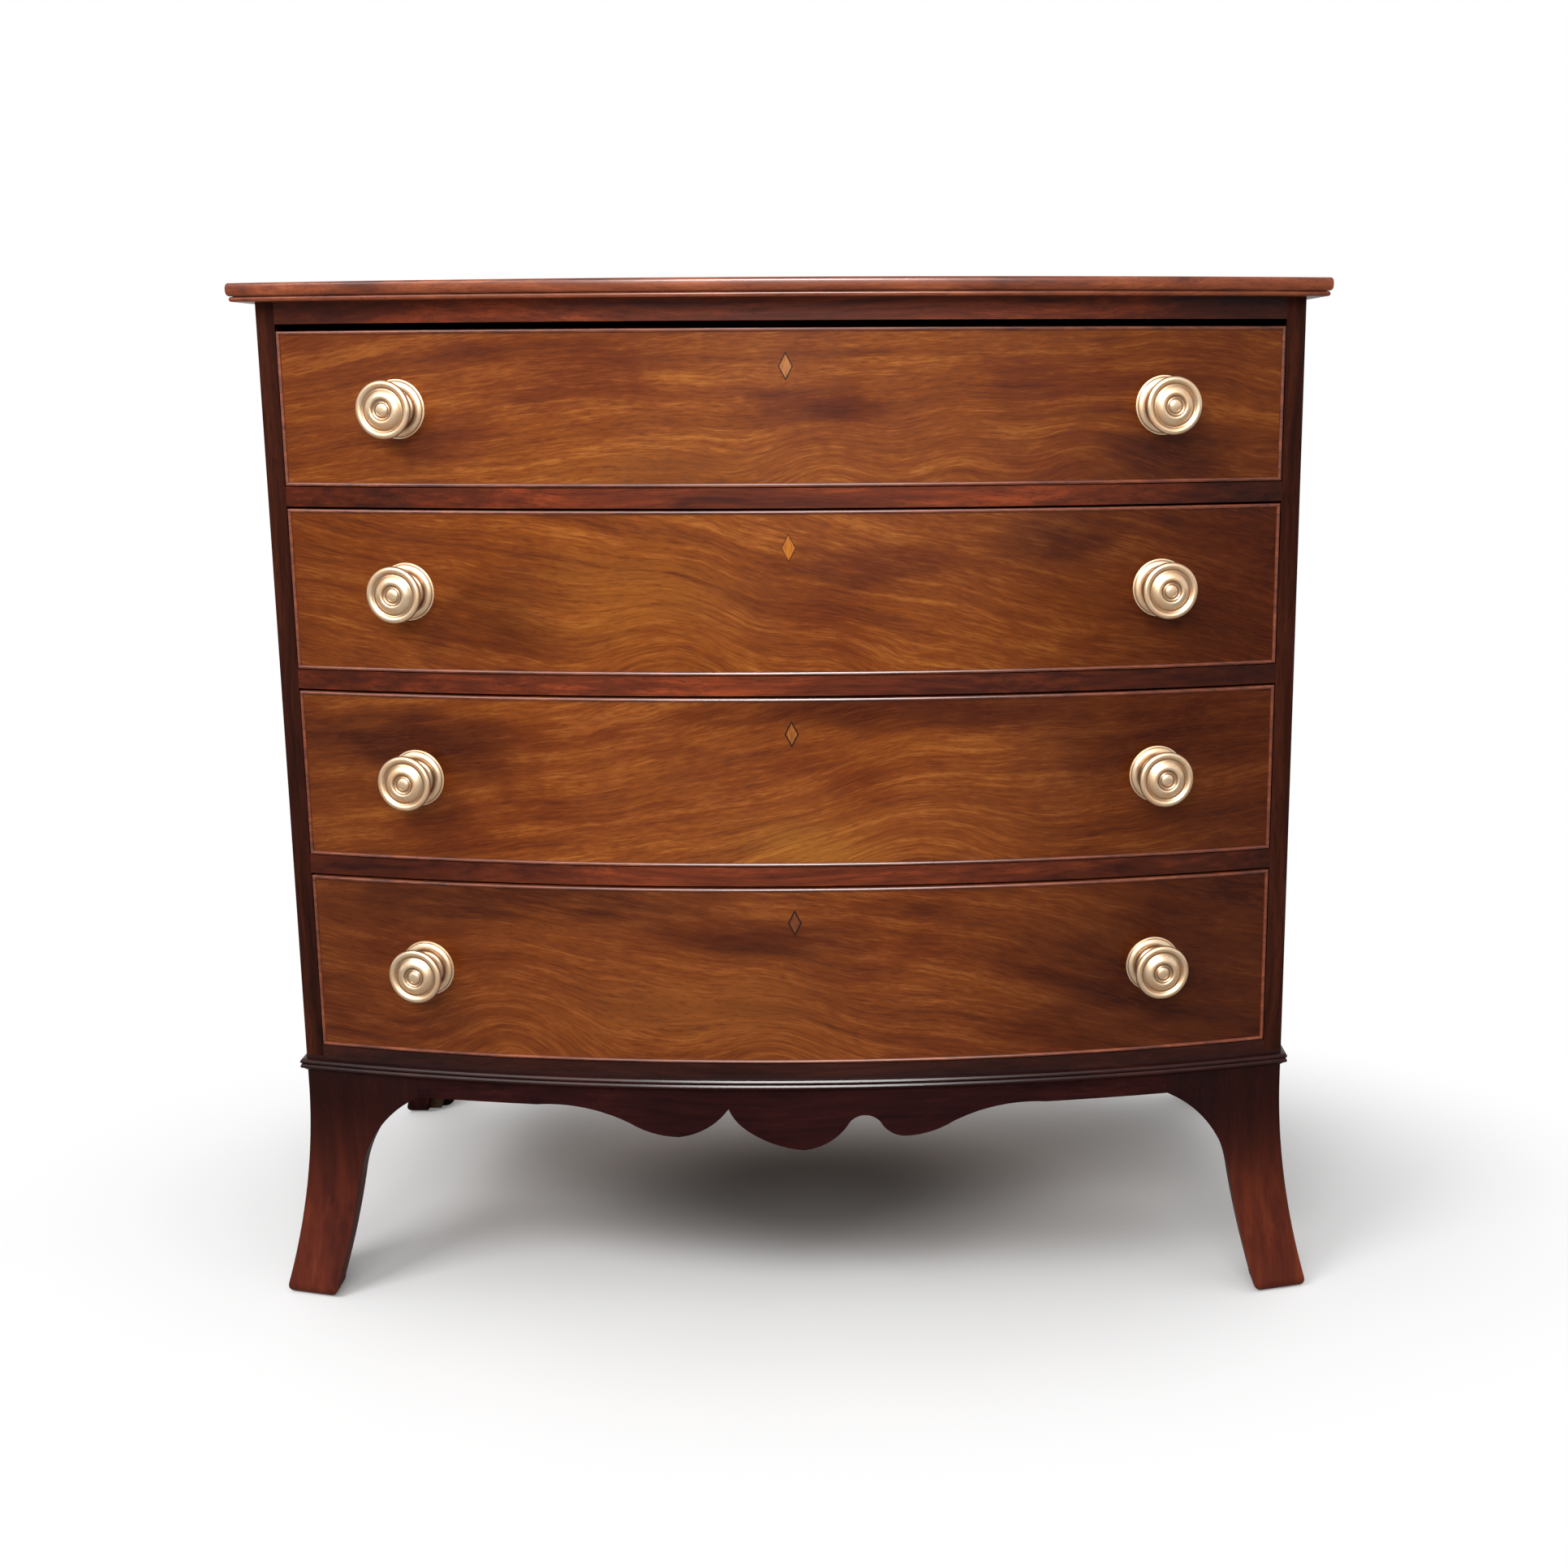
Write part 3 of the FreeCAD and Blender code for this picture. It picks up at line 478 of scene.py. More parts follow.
@dataclass(frozen=True)
class FiguredVeneer:
    """Mahogany veneer cut for its figure, French polished.

    The lines of the figure are the level lines of one smooth field, so that bands, streaks,
    fibres and pores all bend together. Sizes in mm are along and across the grain, or across
    and up the drawer. Real fibres and pores are finer, and are drawn as coarse as they need to
    be to show.
    """

    name: str
    slope: float
    arch: float
    swirls: tuple[Swirl, ...]
    patches: tuple[Patch, ...]
    seed: float
    polish: Polish
    # Darker towards both ends: partly the wood's own tone, partly painted shade where the bow
    # turns away from the light.
    left_end_painted_shade: float
    right_end_painted_shade: float
    deep: str = "#642c0f"
    middle: str = "#8c4614"
    light: str = "#b46a2a"
    end_painted_shade_colour: str = "#6b3c3c"
    cloud_shade: str = "#a8614e"
    band_mm: Pair = (300.0, 17.0)
    streak_mm: Pair = (60.0, 3.6)
    fibre_mm: Pair = (14.0, 1.6)
    pore_mm: Pair = (11.0, 1.2)
    mottle_mm: Pair = (35.0, 20.0)
    cloud_mm: Pair = (160.0, 50.0)
    wide_sway_mm: Triple = (400.0, 300.0, 220.0)
    small_sway_mm: Triple = (85.0, 100.0, 50.0)
    sways_mm: Pair = (70.0, 12.0)
    weights: tuple[float, float, float, float] = (0.40, 0.24, 0.24, 0.12)
    to_middle: Pair = (0.35, 0.52)
    to_light: Pair = (0.49, 0.63)
    in_cloud: Pair = (0.44, 0.68)
    cloud_depth: float = 0.5
    breaks: tuple[float, float, float, float] = (0.34, 0.62, 0.25, 1.3)
    right_end_painted_shade_mm: Pair = (60.0, 420.0)
    left_end_painted_shade_mm: Pair = (-200.0, -440.0)
    pore_depth: float = 0.45
    relief: float = 0.03 * MM

    def figure(self, tree: Tree, place: Socket, x: Socket, z: Socket) -> Socket:
        """Make the field whose level lines are the grain.

        Args:
            tree: The material's tree.
            place: Coordinates about the drawer's middle.
            x: Their X.
            z: Their Z.

        Returns:
            The socket with the field, in metres across the grain.
        """
        bend = work_out(tree, ("MULTIPLY", x, ("MULTIPLY_ADD", x, self.arch, self.slope)))
        wide, small = (tuple(mm * MM for mm in size)
                       for size in (self.wide_sway_mm, self.small_sway_mm))
        parts = [(z, 1.0), (bend, 1.0),
                 (stretched_noise(tree, place, wide, detail=1.5), self.sways_mm[0] * MM),
                 (stretched_noise(tree, place, small), self.sways_mm[1] * MM)]
        parts += [(swirl.place.mound(tree, place), -swirl.lift_mm * MM)
                  for swirl in self.swirls]
        return sums(tree, parts)

    def shaded(self, tree: Tree, place: Socket, x: Socket, colour: Socket,
               broken: Socket) -> Socket:
        """Lay the darker and lighter patches over the figure, and the darker ends: partly the
        wood's own tone, partly painted shade where the bow turns away from the light.

        Args:
            tree: The material's tree.
            place: Coordinates about the drawer's middle.
            x: Their X.
            colour: The figure's colour.
            broken: What breaks the patches' edges up.

        Returns:
            The socket with the colour.
        """
        for patch in self.patches:
            reach = add(tree, "ShaderNodeMath",
                        {0: patch.place.mound(tree, place), 1: broken},
                        operation="MULTIPLY", use_clamp=True)
            much = share(tree, reach.outputs[0], 0.0, PATCH_FULL, 0.0, patch.strength)
            colour = blend(tree, much, colour, patch.colour, patch.way)
        # Painted shade, with some of the wood's own tone, towards each end.
        for reach_mm, strength in ((self.right_end_painted_shade_mm, self.right_end_painted_shade),
                                   (self.left_end_painted_shade_mm, self.left_end_painted_shade)):
            end = share(tree, x, *(mm * MM for mm in reach_mm), 0.0, strength)
            colour = blend(tree, end, colour, self.end_painted_shade_colour, Way.MULTIPLY)
        return colour

    def material(self, middle: Vector) -> Material:
        """Make the material for a drawer front.

        Args:
            middle: The middle of the front.

        Returns:
            The material.
        """
        material, tree = new_material(self.name)
        object_place = add(tree, "ShaderNodeTexCoord").outputs["Object"]
        place = add(tree, "ShaderNodeVectorMath",
                    {0: object_place, 1: (-middle.x, self.seed, -middle.z)},
                    operation="ADD").outputs[0]
        split = add(tree, "ShaderNodeSeparateXYZ", {0: place})
        x, z = split.outputs[0], split.outputs[2]
        lines = add(tree, "ShaderNodeCombineXYZ",
                    {0: x, 1: self.figure(tree, place, x, z), 2: self.seed}).outputs[0]
        bands, streaks, fibres, pores = (
            stretched_noise(tree, lines, (size[0] * MM, size[1] * MM, 1.0), detail, roughness)
            for size, detail, roughness in (
                (self.band_mm, 4.0, 0.6), (self.streak_mm, 3.0, 0.6),
                (self.fibre_mm, 2.0, 0.6), (self.pore_mm, 1.0, 0.5)))
        mottle, clouds = (
            stretched_noise(tree, place, (size[0] * MM, 1.0, size[1] * MM), detail, roughness)
            for size, detail, roughness in ((self.mottle_mm, 4.0, 0.65),
                                            (self.cloud_mm, 3.0, 0.6)))
        tone = sums(tree, zip((bands, streaks, fibres, mottle), self.weights))
        colour = blend(tree, share(tree, tone, *self.to_middle), self.deep, self.middle)
        colour = blend(tree, share(tree, tone, *self.to_light), colour, self.light)
        cloud = share(tree, clouds, *self.in_cloud, 0.0, self.cloud_depth)
        colour = blend(tree, cloud, colour, self.cloud_shade, Way.MULTIPLY)
        broken = share(tree, sums(tree, ((clouds, 0.5), (streaks, 0.5))), *self.breaks)
        colour = self.shaded(tree, place, x, colour, broken)
        open_pores = share(tree, pores, *OPEN_PORES, self.pore_depth, 0.0)
        colour = blend(tree, open_pores, colour, self.deep)
        height = sums(tree, ((fibres, 0.5), (open_pores, -0.4)), 0.5)
        close_material(tree, self.polish.shader(tree, colour, object_place, height,
                                                self.relief))
        return material


@dataclass(frozen=True)
class Inlay:
    """Pale close-grained wood let into the veneer, with a dark line of old glue round it.

    It is polished with the front, so it has the front's gloss, and lies a hair above the glue.
    """

    name: str
    wood: str
    line: str = "#2e1409"
    half_width: float = 6.25 * MM
    half_height: float = 12.0 * MM
    line_share: float = 0.9
    line_ease: Pair = (-0.05, 0.03)
    line_depth: float = 0.1 * MM
    grain_mm: Pair = (0.9, 9.0)
    grain_depth: float = 0.45
    grain_in: Pair = (0.35, 0.65)
    polish: Polish = Polish(roughness=0.38, spread=0.05, coat=0.1, coat_roughness=0.2,
                            specular=0.1)

    def material(self, middle: Vector) -> Material:
        """Make the material for a lozenge.

        Args:
            middle: The lozenge's middle.

        Returns:
            The material.
        """
        material, tree = new_material(self.name)
        place = add(tree, "ShaderNodeTexCoord").outputs["Object"]
        about = add(tree, "ShaderNodeMapping",
                    {"Vector": place, "Location": (middle.x, 0.0, middle.z),
                     "Scale": (self.half_width, 1.0, self.half_height)}, vector_type="TEXTURE")
        size = add(tree, "ShaderNodeVectorMath", {0: about.outputs[0]}, operation="ABSOLUTE")
        split = add(tree, "ShaderNodeSeparateXYZ", {0: size.outputs[0]})
        reach = sums(tree, ((split.outputs[0], 1.0), (split.outputs[2], 1.0)))
        across, up = self.grain_mm
        grain = stretched_noise(tree, place, (across * MM, 1.0, up * MM))
        streaks = share(tree, grain, *self.grain_in, 0.0, self.grain_depth)
        colour = blend(tree, streaks, self.wood, self.line)
        edge = share(tree, reach, *(self.line_share + ease for ease in self.line_ease))
        colour = blend(tree, edge, colour, self.line)
        close_material(tree, self.polish.shader(tree, colour, place, edge, -self.line_depth))
        return material


@dataclass(frozen=True)
class TurnedBrass:
    """Cast brass turned on a lathe and polished, since dulled: pale gold, browner in hollows.

    Reads two attributes of the turned mesh: how far round the section a point is, for the
    tool's fine rings, and how sunk it is, for the tarnish that polishing can't reach. Real tool
    rings are a tenth of a millimetre apart; here they are coarser, so that they show.
    """

    name: str = "turned_brass"
    bright: str = "#e2c8a8"
    warm: str = "#d4ae88"
    tarnish: str = "#6c4c36"
    roughness: float = 0.34
    polished_more: float = 0.06
    polished_less: float = 0.1
    cloud_mm: float = 12.0
    spot_mm: float = 1.5
    ring_mm: float = 0.35
    relief: float = 0.02 * MM
    relief_strength: float = 0.5
    in_hollows: float = 0.75
    in_spots: float = 0.2
    rubbed_off: float = 0.08
    warm_in: Pair = (0.35, 0.68)
    rough_in: Pair = (0.3, 0.7)

    def material(self) -> Material:
        """Make the material.

        Returns:
            The material.
        """
        material, tree = new_material(self.name)
        place = add(tree, "ShaderNodeTexCoord").outputs["Object"]
        run = add(tree, "ShaderNodeAttribute", attribute_name="run").outputs["Fac"]
        sunk = add(tree, "ShaderNodeAttribute", attribute_name="sunk").outputs["Fac"]
        clouds = stretched_noise(tree, place, (self.cloud_mm * MM,) * 3, detail=3.0,
                                 roughness=0.6)
        spots = stretched_noise(tree, place, (self.spot_mm * MM,) * 3)
        rings = add(tree, "ShaderNodeTexNoise",
                    {"Scale": 1 / (self.ring_mm * MM), "Detail": 1.0, "W": run},
                    noise_dimensions="1D").outputs["Fac"]
        colour = blend(tree, share(tree, clouds, *self.warm_in), self.bright, self.warm)
        dull = sums(tree, ((sunk, self.in_hollows), (spots, self.in_spots)), -self.rubbed_off)
        colour = blend(tree, dull, colour, self.tarnish)
        rough = share(tree, clouds, *self.rough_in, self.roughness - self.polished_more,
                      self.roughness + self.polished_less)
        bump = add(tree, "ShaderNodeBump",
                   {"Strength": self.relief_strength, "Distance": self.relief,
                    "Height": rings})
        shader = add(tree, "ShaderNodeBsdfPrincipled",
                     {"Metallic": 1.0, "Base Color": colour, "Roughness": rough,
                      "Normal": bump.outputs["Normal"]})
        close_material(tree, shader)
        return material


@dataclass(frozen=True)
class CutIron:
    """Hand-cut iron nail heads, rusted brown: half metal, half rust, and rough all over."""

    name: str = "cut_iron"
    iron: str = "#3a312c"
    rust: str = "#6a4029"
    rust_mm: float = 2.0
    rust_in: Pair = (0.4, 0.6)
    relief: float = 0.2 * MM
    relief_strength: float = 0.6
    metallic: float = 0.4
    roughness: float = 0.7

    def material(self) -> Material:
        """Make the material.

        Returns:
            The material.
        """
        material, tree = new_material(self.name)
        place = add(tree, "ShaderNodeTexCoord").outputs["Object"]
        rust = stretched_noise(tree, place, (self.rust_mm * MM,) * 3, detail=3.0)
        colour = blend(tree, share(tree, rust, *self.rust_in), self.iron, self.rust)
        bump = add(tree, "ShaderNodeBump",
                   {"Strength": self.relief_strength, "Distance": self.relief, "Height": rust})
        shader = add(tree, "ShaderNodeBsdfPrincipled",
                     {"Metallic": self.metallic, "Roughness": self.roughness,
                      "Base Color": colour, "Normal": bump.outputs["Normal"]})
        close_material(tree, shader)
        return material


# Shellac rubbed on with a pad in many thin coats: a satin gloss with the wood's colour deep in
# it. Where hands and cloths have rubbed most, on beads and edges, it is thin and bright.
FRENCH_POLISH = Polish(roughness=0.38, spread=0.08, coat=0.10, coat_roughness=0.14,
                       specular=0.10)
BRIGHT_POLISH = Polish(roughness=0.36, spread=0.06, coat=0.75, coat_roughness=0.32,
                       specular=0.05)
EDGE_POLISH = Polish(roughness=0.36, spread=0.06, coat=0.55, coat_roughness=0.28, specular=0.05)
MOULDED_POLISH = Polish(roughness=0.36, spread=0.06, coat=0.32, coat_roughness=0.27,
                        specular=0.03)
RAIL_POLISH = Polish(roughness=0.40, spread=0.08, coat=0.15, coat_roughness=0.30, specular=0.06)
# The same polish gone dull with age and dust, on sides and low pieces that are rubbed less.
DULL_POLISH = Polish(roughness=0.46, spread=0.10, coat=0.03, coat_roughness=0.24, specular=0.03)
WORN_POLISH = Polish(roughness=0.42, spread=0.10, coat=0.08, coat_roughness=0.20, specular=0.08)
# Wax rubbed into planed wood: a low sheen.
WAXED = Polish(roughness=0.58, spread=0.08, coat=0.0, coat_roughness=0.3, specular=0.3)
# Wood as the plane left it: matt.
PLANED = Polish(roughness=0.78, spread=0.08, coat=0.0, coat_roughness=0.3, specular=0.2)

# Solid mahogany, sawn and polished: red-brown with darker streaks, nearly black where dirt and old
# polish have gathered. The rails are drawn darker towards both ends, most at the right, as painted
# shade, so that their middles read as a painted highlight.
DARK_MAHOGANY = Timber("dark_mahogany", pale="#a64b26", middle="#6e3019", dark="#441a10",
                       polish=RAIL_POLISH, left_end_painted_shade="#b4aaaa", right_end_painted_shade="#8e8ea0")
SIDE_MAHOGANY = Timber("side_mahogany", pale="#4c2417", middle="#36180f", dark="#200d09",
                       polish=DULL_POLISH)
LOW_MAHOGANY = Timber("low_mahogany", pale="#4a2218", middle="#351610", dark="#220e0b",
                      polish=WORN_POLISH)
# The apron's wood: dark partly from its own tone and partly as painted shade under the moulding.
# The back feet wear it as painted shade, since they stand in shadow behind.
APRON_MAHOGANY = Timber("apron_mahogany", pale="#401c18", middle="#2f1212", dark="#200c0d",
                        polish=DULL_POLISH, band_mm=16.0)
MOULDED_MAHOGANY = Timber("moulded_mahogany", pale="#401c16", middle="#2d110e",
                          dark="#1d0a09", polish=MOULDED_POLISH)
# Feet, redder at the toes and darker towards the case above.
RED_MAHOGANY = Timber("red_mahogany", pale="#7a3620", middle="#602718", dark="#461a11",
                      polish=WORN_POLISH, band_mm=30.0, streak_mm=9.0, pore_depth=0.2, top_darkening=1.0)
# Fine strips and edges, drawn paler than the fronts: partly their own wood, partly painted sheen
# where they face the light, so that they catch it as thin bright lines.
BEAD_MAHOGANY = Timber("bead_mahogany", pale="#a65832", middle="#803e24", dark="#502418",
                       polish=BRIGHT_POLISH, band_mm=8.0, streak_mm=2.0)
EDGE_MAHOGANY = Timber("edge_mahogany", pale="#ae5e38", middle="#884224", dark="#552516",
                       polish=EDGE_POLISH)
# Quarter-sawn oak, planed and waxed: straight grain crossed by pale flecks of its rays.
OAK = Timber("quartered_oak", pale="#c49a6a", middle="#ab7d50", dark="#805837", polish=WAXED,
             band_mm=14.0, streak_mm=3.0, pore_mm=0.9, pore_depth=0.6, relief=0.15 * MM,
             fleck=0.5)
# Pine, planed and never finished, browned by age: matt, with soft even streaks.
PINE = Timber("aged_pine", pale="#bb8d5a", middle="#9c6f42", dark="#6f4727", polish=PLANED,
              band_mm=11.0, streak_mm=3.5, pore_depth=0.2, relief=0.2 * MM)
BACK_PINE = Timber("back_pine", pale="#b4875e", middle="#9a6d4b", dark="#78503a", polish=PLANED,
                   band_mm=22.0, streak_mm=5.0, pore_depth=0.2, relief=0.2 * MM, board_mm=220.5)
# Pine for the glue blocks inside the feet: partly dirt, partly painted shade, as they stand in the
# shadow of the brackets.
SHADED_DIRTY_PINE = Timber("shaded_dirty_pine", pale="#5c4430", middle="#463322", dark="#2c2017",
                    polish=PLANED, band_mm=11.0, streak_mm=3.5, relief=0.2 * MM)

# The four fronts, from the top: slope and arch of the grain, where it curls up over something,
# and the darker and lighter places. A place is X, Z, width and height from the front's middle.
VENEERS = (
    FiguredVeneer("figured_veneer_1", -0.03, 0.15,
                  (Swirl(Place(40, -95, 95, 140), 58), Swirl(Place(150, -85, 90, 140), 48),
                   Swirl(Place(255, -80, 105, 140), 48)),
                  (Patch(Place(330, -48, 130, 75), "#6e3a34", 0.7),
                   Patch(Place(20, 0, 150, 40), "#9a5a48", 0.55),
                   Patch(Place(-180, 50, 240, 60), "#a0604a", 0.4),
                   Patch(Place(-120, -50, 260, 60), "#b4702c", 0.2, Way.MIX)),
                  3.1, FRENCH_POLISH, left_end_painted_shade=0.2, right_end_painted_shade=0.42),
    FiguredVeneer("figured_veneer_2", 0.20, 0.10,
                  (Swirl(Place(-90, -110, 120, 190), 95), Swirl(Place(35, -120, 90, 150), 60)),
                  (Patch(Place(-240, -15, 120, 75), "#6e3f2c", 0.65),
                   Patch(Place(60, 24, 190, 40), "#8a4a34", 0.6),
                   Patch(Place(230, 40, 120, 60), "#6e3e30", 0.5),
                   Patch(Place(-130, 0, 190, 110), "#b4702c", 0.3, Way.MIX)),
                  7.7, FRENCH_POLISH, left_end_painted_shade=0.3, right_end_painted_shade=0.84),
    FiguredVeneer("figured_veneer_3", -0.12, 0.12,
                  (Swirl(Place(115, -130, 150, 200), 110), Swirl(Place(5, -120, 70, 110), 40)),
                  (Patch(Place(-330, 25, 210, 90), "#6e3f2c", 0.7),
                   Patch(Place(80, 62, 320, 42), "#7a4430", 0.7),
                   Patch(Place(15, -62, 150, 60), "#bd7a2e", 0.45, Way.MIX),
                   Patch(Place(300, 30, 180, 80), "#7a4438", 0.5)),
                  12.9, FRENCH_POLISH, left_end_painted_shade=0.4, right_end_painted_shade=0.74),
    # The lowest front's darker colours are partly its own wood, partly painted shade of the light
    # falling off downwards.
    FiguredVeneer("figured_veneer_4", 0.17, 0.10,
                  (Swirl(Place(-250, -110, 110, 190), 105), Swirl(Place(-15, -120, 110, 170), 85)),
                  (Patch(Place(-240, 66, 340, 56), "#6a3a2a", 0.75),
                   Patch(Place(-20, 30, 170, 36), "#7a4430", 0.6),
                   Patch(Place(300, 0, 220, 130), "#7a4038", 0.5),
                   Patch(Place(-80, -30, 240, 90), "#a8642a", 0.3, Way.MIX)),
                  17.3, FRENCH_POLISH, left_end_painted_shade=0.4, right_end_painted_shade=0.74,
                  deep="#5a270e", middle="#803f14", light="#a05a26"),
)
INLAYS = (Inlay("inlay_1", "#c68048", line_share=0.84), Inlay("inlay_2", "#d8802e"),
          Inlay("inlay_3", "#b2692c", line_share=0.78),
          Inlay("inlay_4", "#7d4526", line_share=0.76))


# ---- Meshes ----------------------------------------------------------------------------

def plain_object(name: str, mesh: Mesh) -> Piece:
    """Put a mesh in the scene as an object at the origin.

    Args:
        name: The object's name.
        mesh: Its mesh.

    Returns:
        The object.
    """
    piece = bpy.data.objects.new(name, mesh)
    bpy.context.scene.collection.objects.link(piece)
    return piece


def smooth(mesh: Mesh, sharp: float) -> None:
    """Shade a mesh smooth, but for its sharp edges.

    Args:
        mesh: The mesh, changed in place.
        sharp: How many degrees an edge turns by before it counts as sharp.
    """
    for polygon in mesh.polygons:
        polygon.use_smooth = True
    mesh.set_sharp_from_angle(angle=math.radians(sharp))


def tidy_mesh(mesh: Mesh, sharp: float = SHARP_DEGREES, close: bool = True,
              flatten: float = 0.0) -> None:
    """Weld a mesh, close its open ends, turn its faces outwards and smooth it.

    Args:
        mesh: The mesh, changed in place.
        sharp: Edges that turn by more than this many degrees stay sharp.
        close: Whether open ends get a face.
        flatten: Faces that turn by less than this many degrees become one.
    """
    work = bmesh.new()
    work.from_mesh(mesh)
    bmesh.ops.remove_doubles(work, verts=work.verts, dist=WELD)
    if close:
        rims = [edge for edge in work.edges if edge.is_boundary]
        bmesh.ops.holes_fill(work, edges=rims, sides=0)
    if flatten:
        bmesh.ops.dissolve_limit(work, angle_limit=math.radians(flatten), verts=work.verts,
                                 edges=work.edges)
    bmesh.ops.recalc_face_normals(work, faces=work.faces)
    work.to_mesh(mesh)
    work.free()
    smooth(mesh, sharp)


def grow(name: str, tree: Tree, host: Mesh, inputs: dict[str, Any]) -> Piece:
    """Run a node tree on a mesh once and keep the result as a plain object.

    Args:
        name: The new piece's name.
        tree: The geometry node tree.
        host: The mesh that the tree starts from.
        inputs: Values for the tree's named inputs.

    Returns:
        The piece.
    """
    holder = plain_object(f"{name}_host", host)
    modifier = holder.modifiers.new("grow", "NODES")
    modifier.node_group = tree
    known = {item.name: item.identifier for item in tree.interface.items_tree
             if item.in_out == "INPUT"}
    for label, value in inputs.items():
        modifier[known[label]] = value
    depsgraph = bpy.context.evaluated_depsgraph_get()
    mesh = bpy.data.meshes.new_from_object(holder.evaluated_get(depsgraph),
                                           preserve_all_data_layers=True, depsgraph=depsgraph)
    holder.modifiers.remove(modifier)
    bpy.data.objects.remove(holder)
    mesh.name = name
    return plain_object(name, mesh)


def joined(name: str, pieces: Sequence[Piece], finish: Material) -> Piece:
    """Join pieces that share one finish into one piece.

    Args:
        name: The result's name.
        pieces: The pieces, which are removed.
        finish: The finish of the whole.

    Returns:
        The joined piece.
    """
    work = bmesh.new()
    for piece in pieces:
        work.from_mesh(piece.data)
    for face in work.faces:
        face.material_index = 0
    mesh = bpy.data.meshes.new(name)
    work.to_mesh(mesh)
    work.free()
    mesh.materials.append(finish)
    for piece in pieces:
        bpy.data.objects.remove(piece)
    return plain_object(name, mesh)


def open_tree(name: str, sockets: Sequence[tuple[str, str]]) -> tuple[Tree, Node]:
    """Start a geometry node tree.

    Args:
        name: The tree's name.
        sockets: Names and kinds of its inputs.

    Returns:
        The tree and its input node.
    """
    tree = bpy.data.node_groups.new(name, "GeometryNodeTree")
    tree.interface.new_socket("Geometry", in_out="OUTPUT", socket_type="NodeSocketGeometry")
    for label, kind in sockets:
        tree.interface.new_socket(label, in_out="INPUT", socket_type=kind)
    return tree, tree.nodes.new("NodeGroupInput")


def close_tree(tree: Tree, geometry: Socket, finish: Socket) -> None:
    """End a geometry node tree with its instances made real and its material set.

    Args:
        tree: The tree.
        geometry: What it has made.
        finish: The material.
    """
    real = add(tree, "GeometryNodeRealizeInstances", {"Geometry": geometry})
    dressed = add(tree, "GeometryNodeSetMaterial",
                  {"Geometry": real.outputs[0], "Material": finish})
    add(tree, "NodeGroupOutput", {"Geometry": dressed.outputs[0]})


def rows_and_columns(tree: Tree, count: Socket) -> tuple[Socket, Socket]:
    """Tell where each point of a grid is.

    Args:
        tree: The geometry node tree.
        count: How many points a row has.

    Returns:
        The sockets with the point's row and its place in the row.
    """
    index = add(tree, "GeometryNodeInputIndex").outputs[0]
    return (work_out(tree, ("FLOOR", ("DIVIDE", index, count))),
            work_out(tree, ("MODULO", index, count)))


@dataclass(frozen=True)
class Station:
    """A place along a path, and which ways the two axes of a section point there."""

    place: Vector
    across: Vector
    rise: Vector = Vector((0.0, 0.0, 1.0))


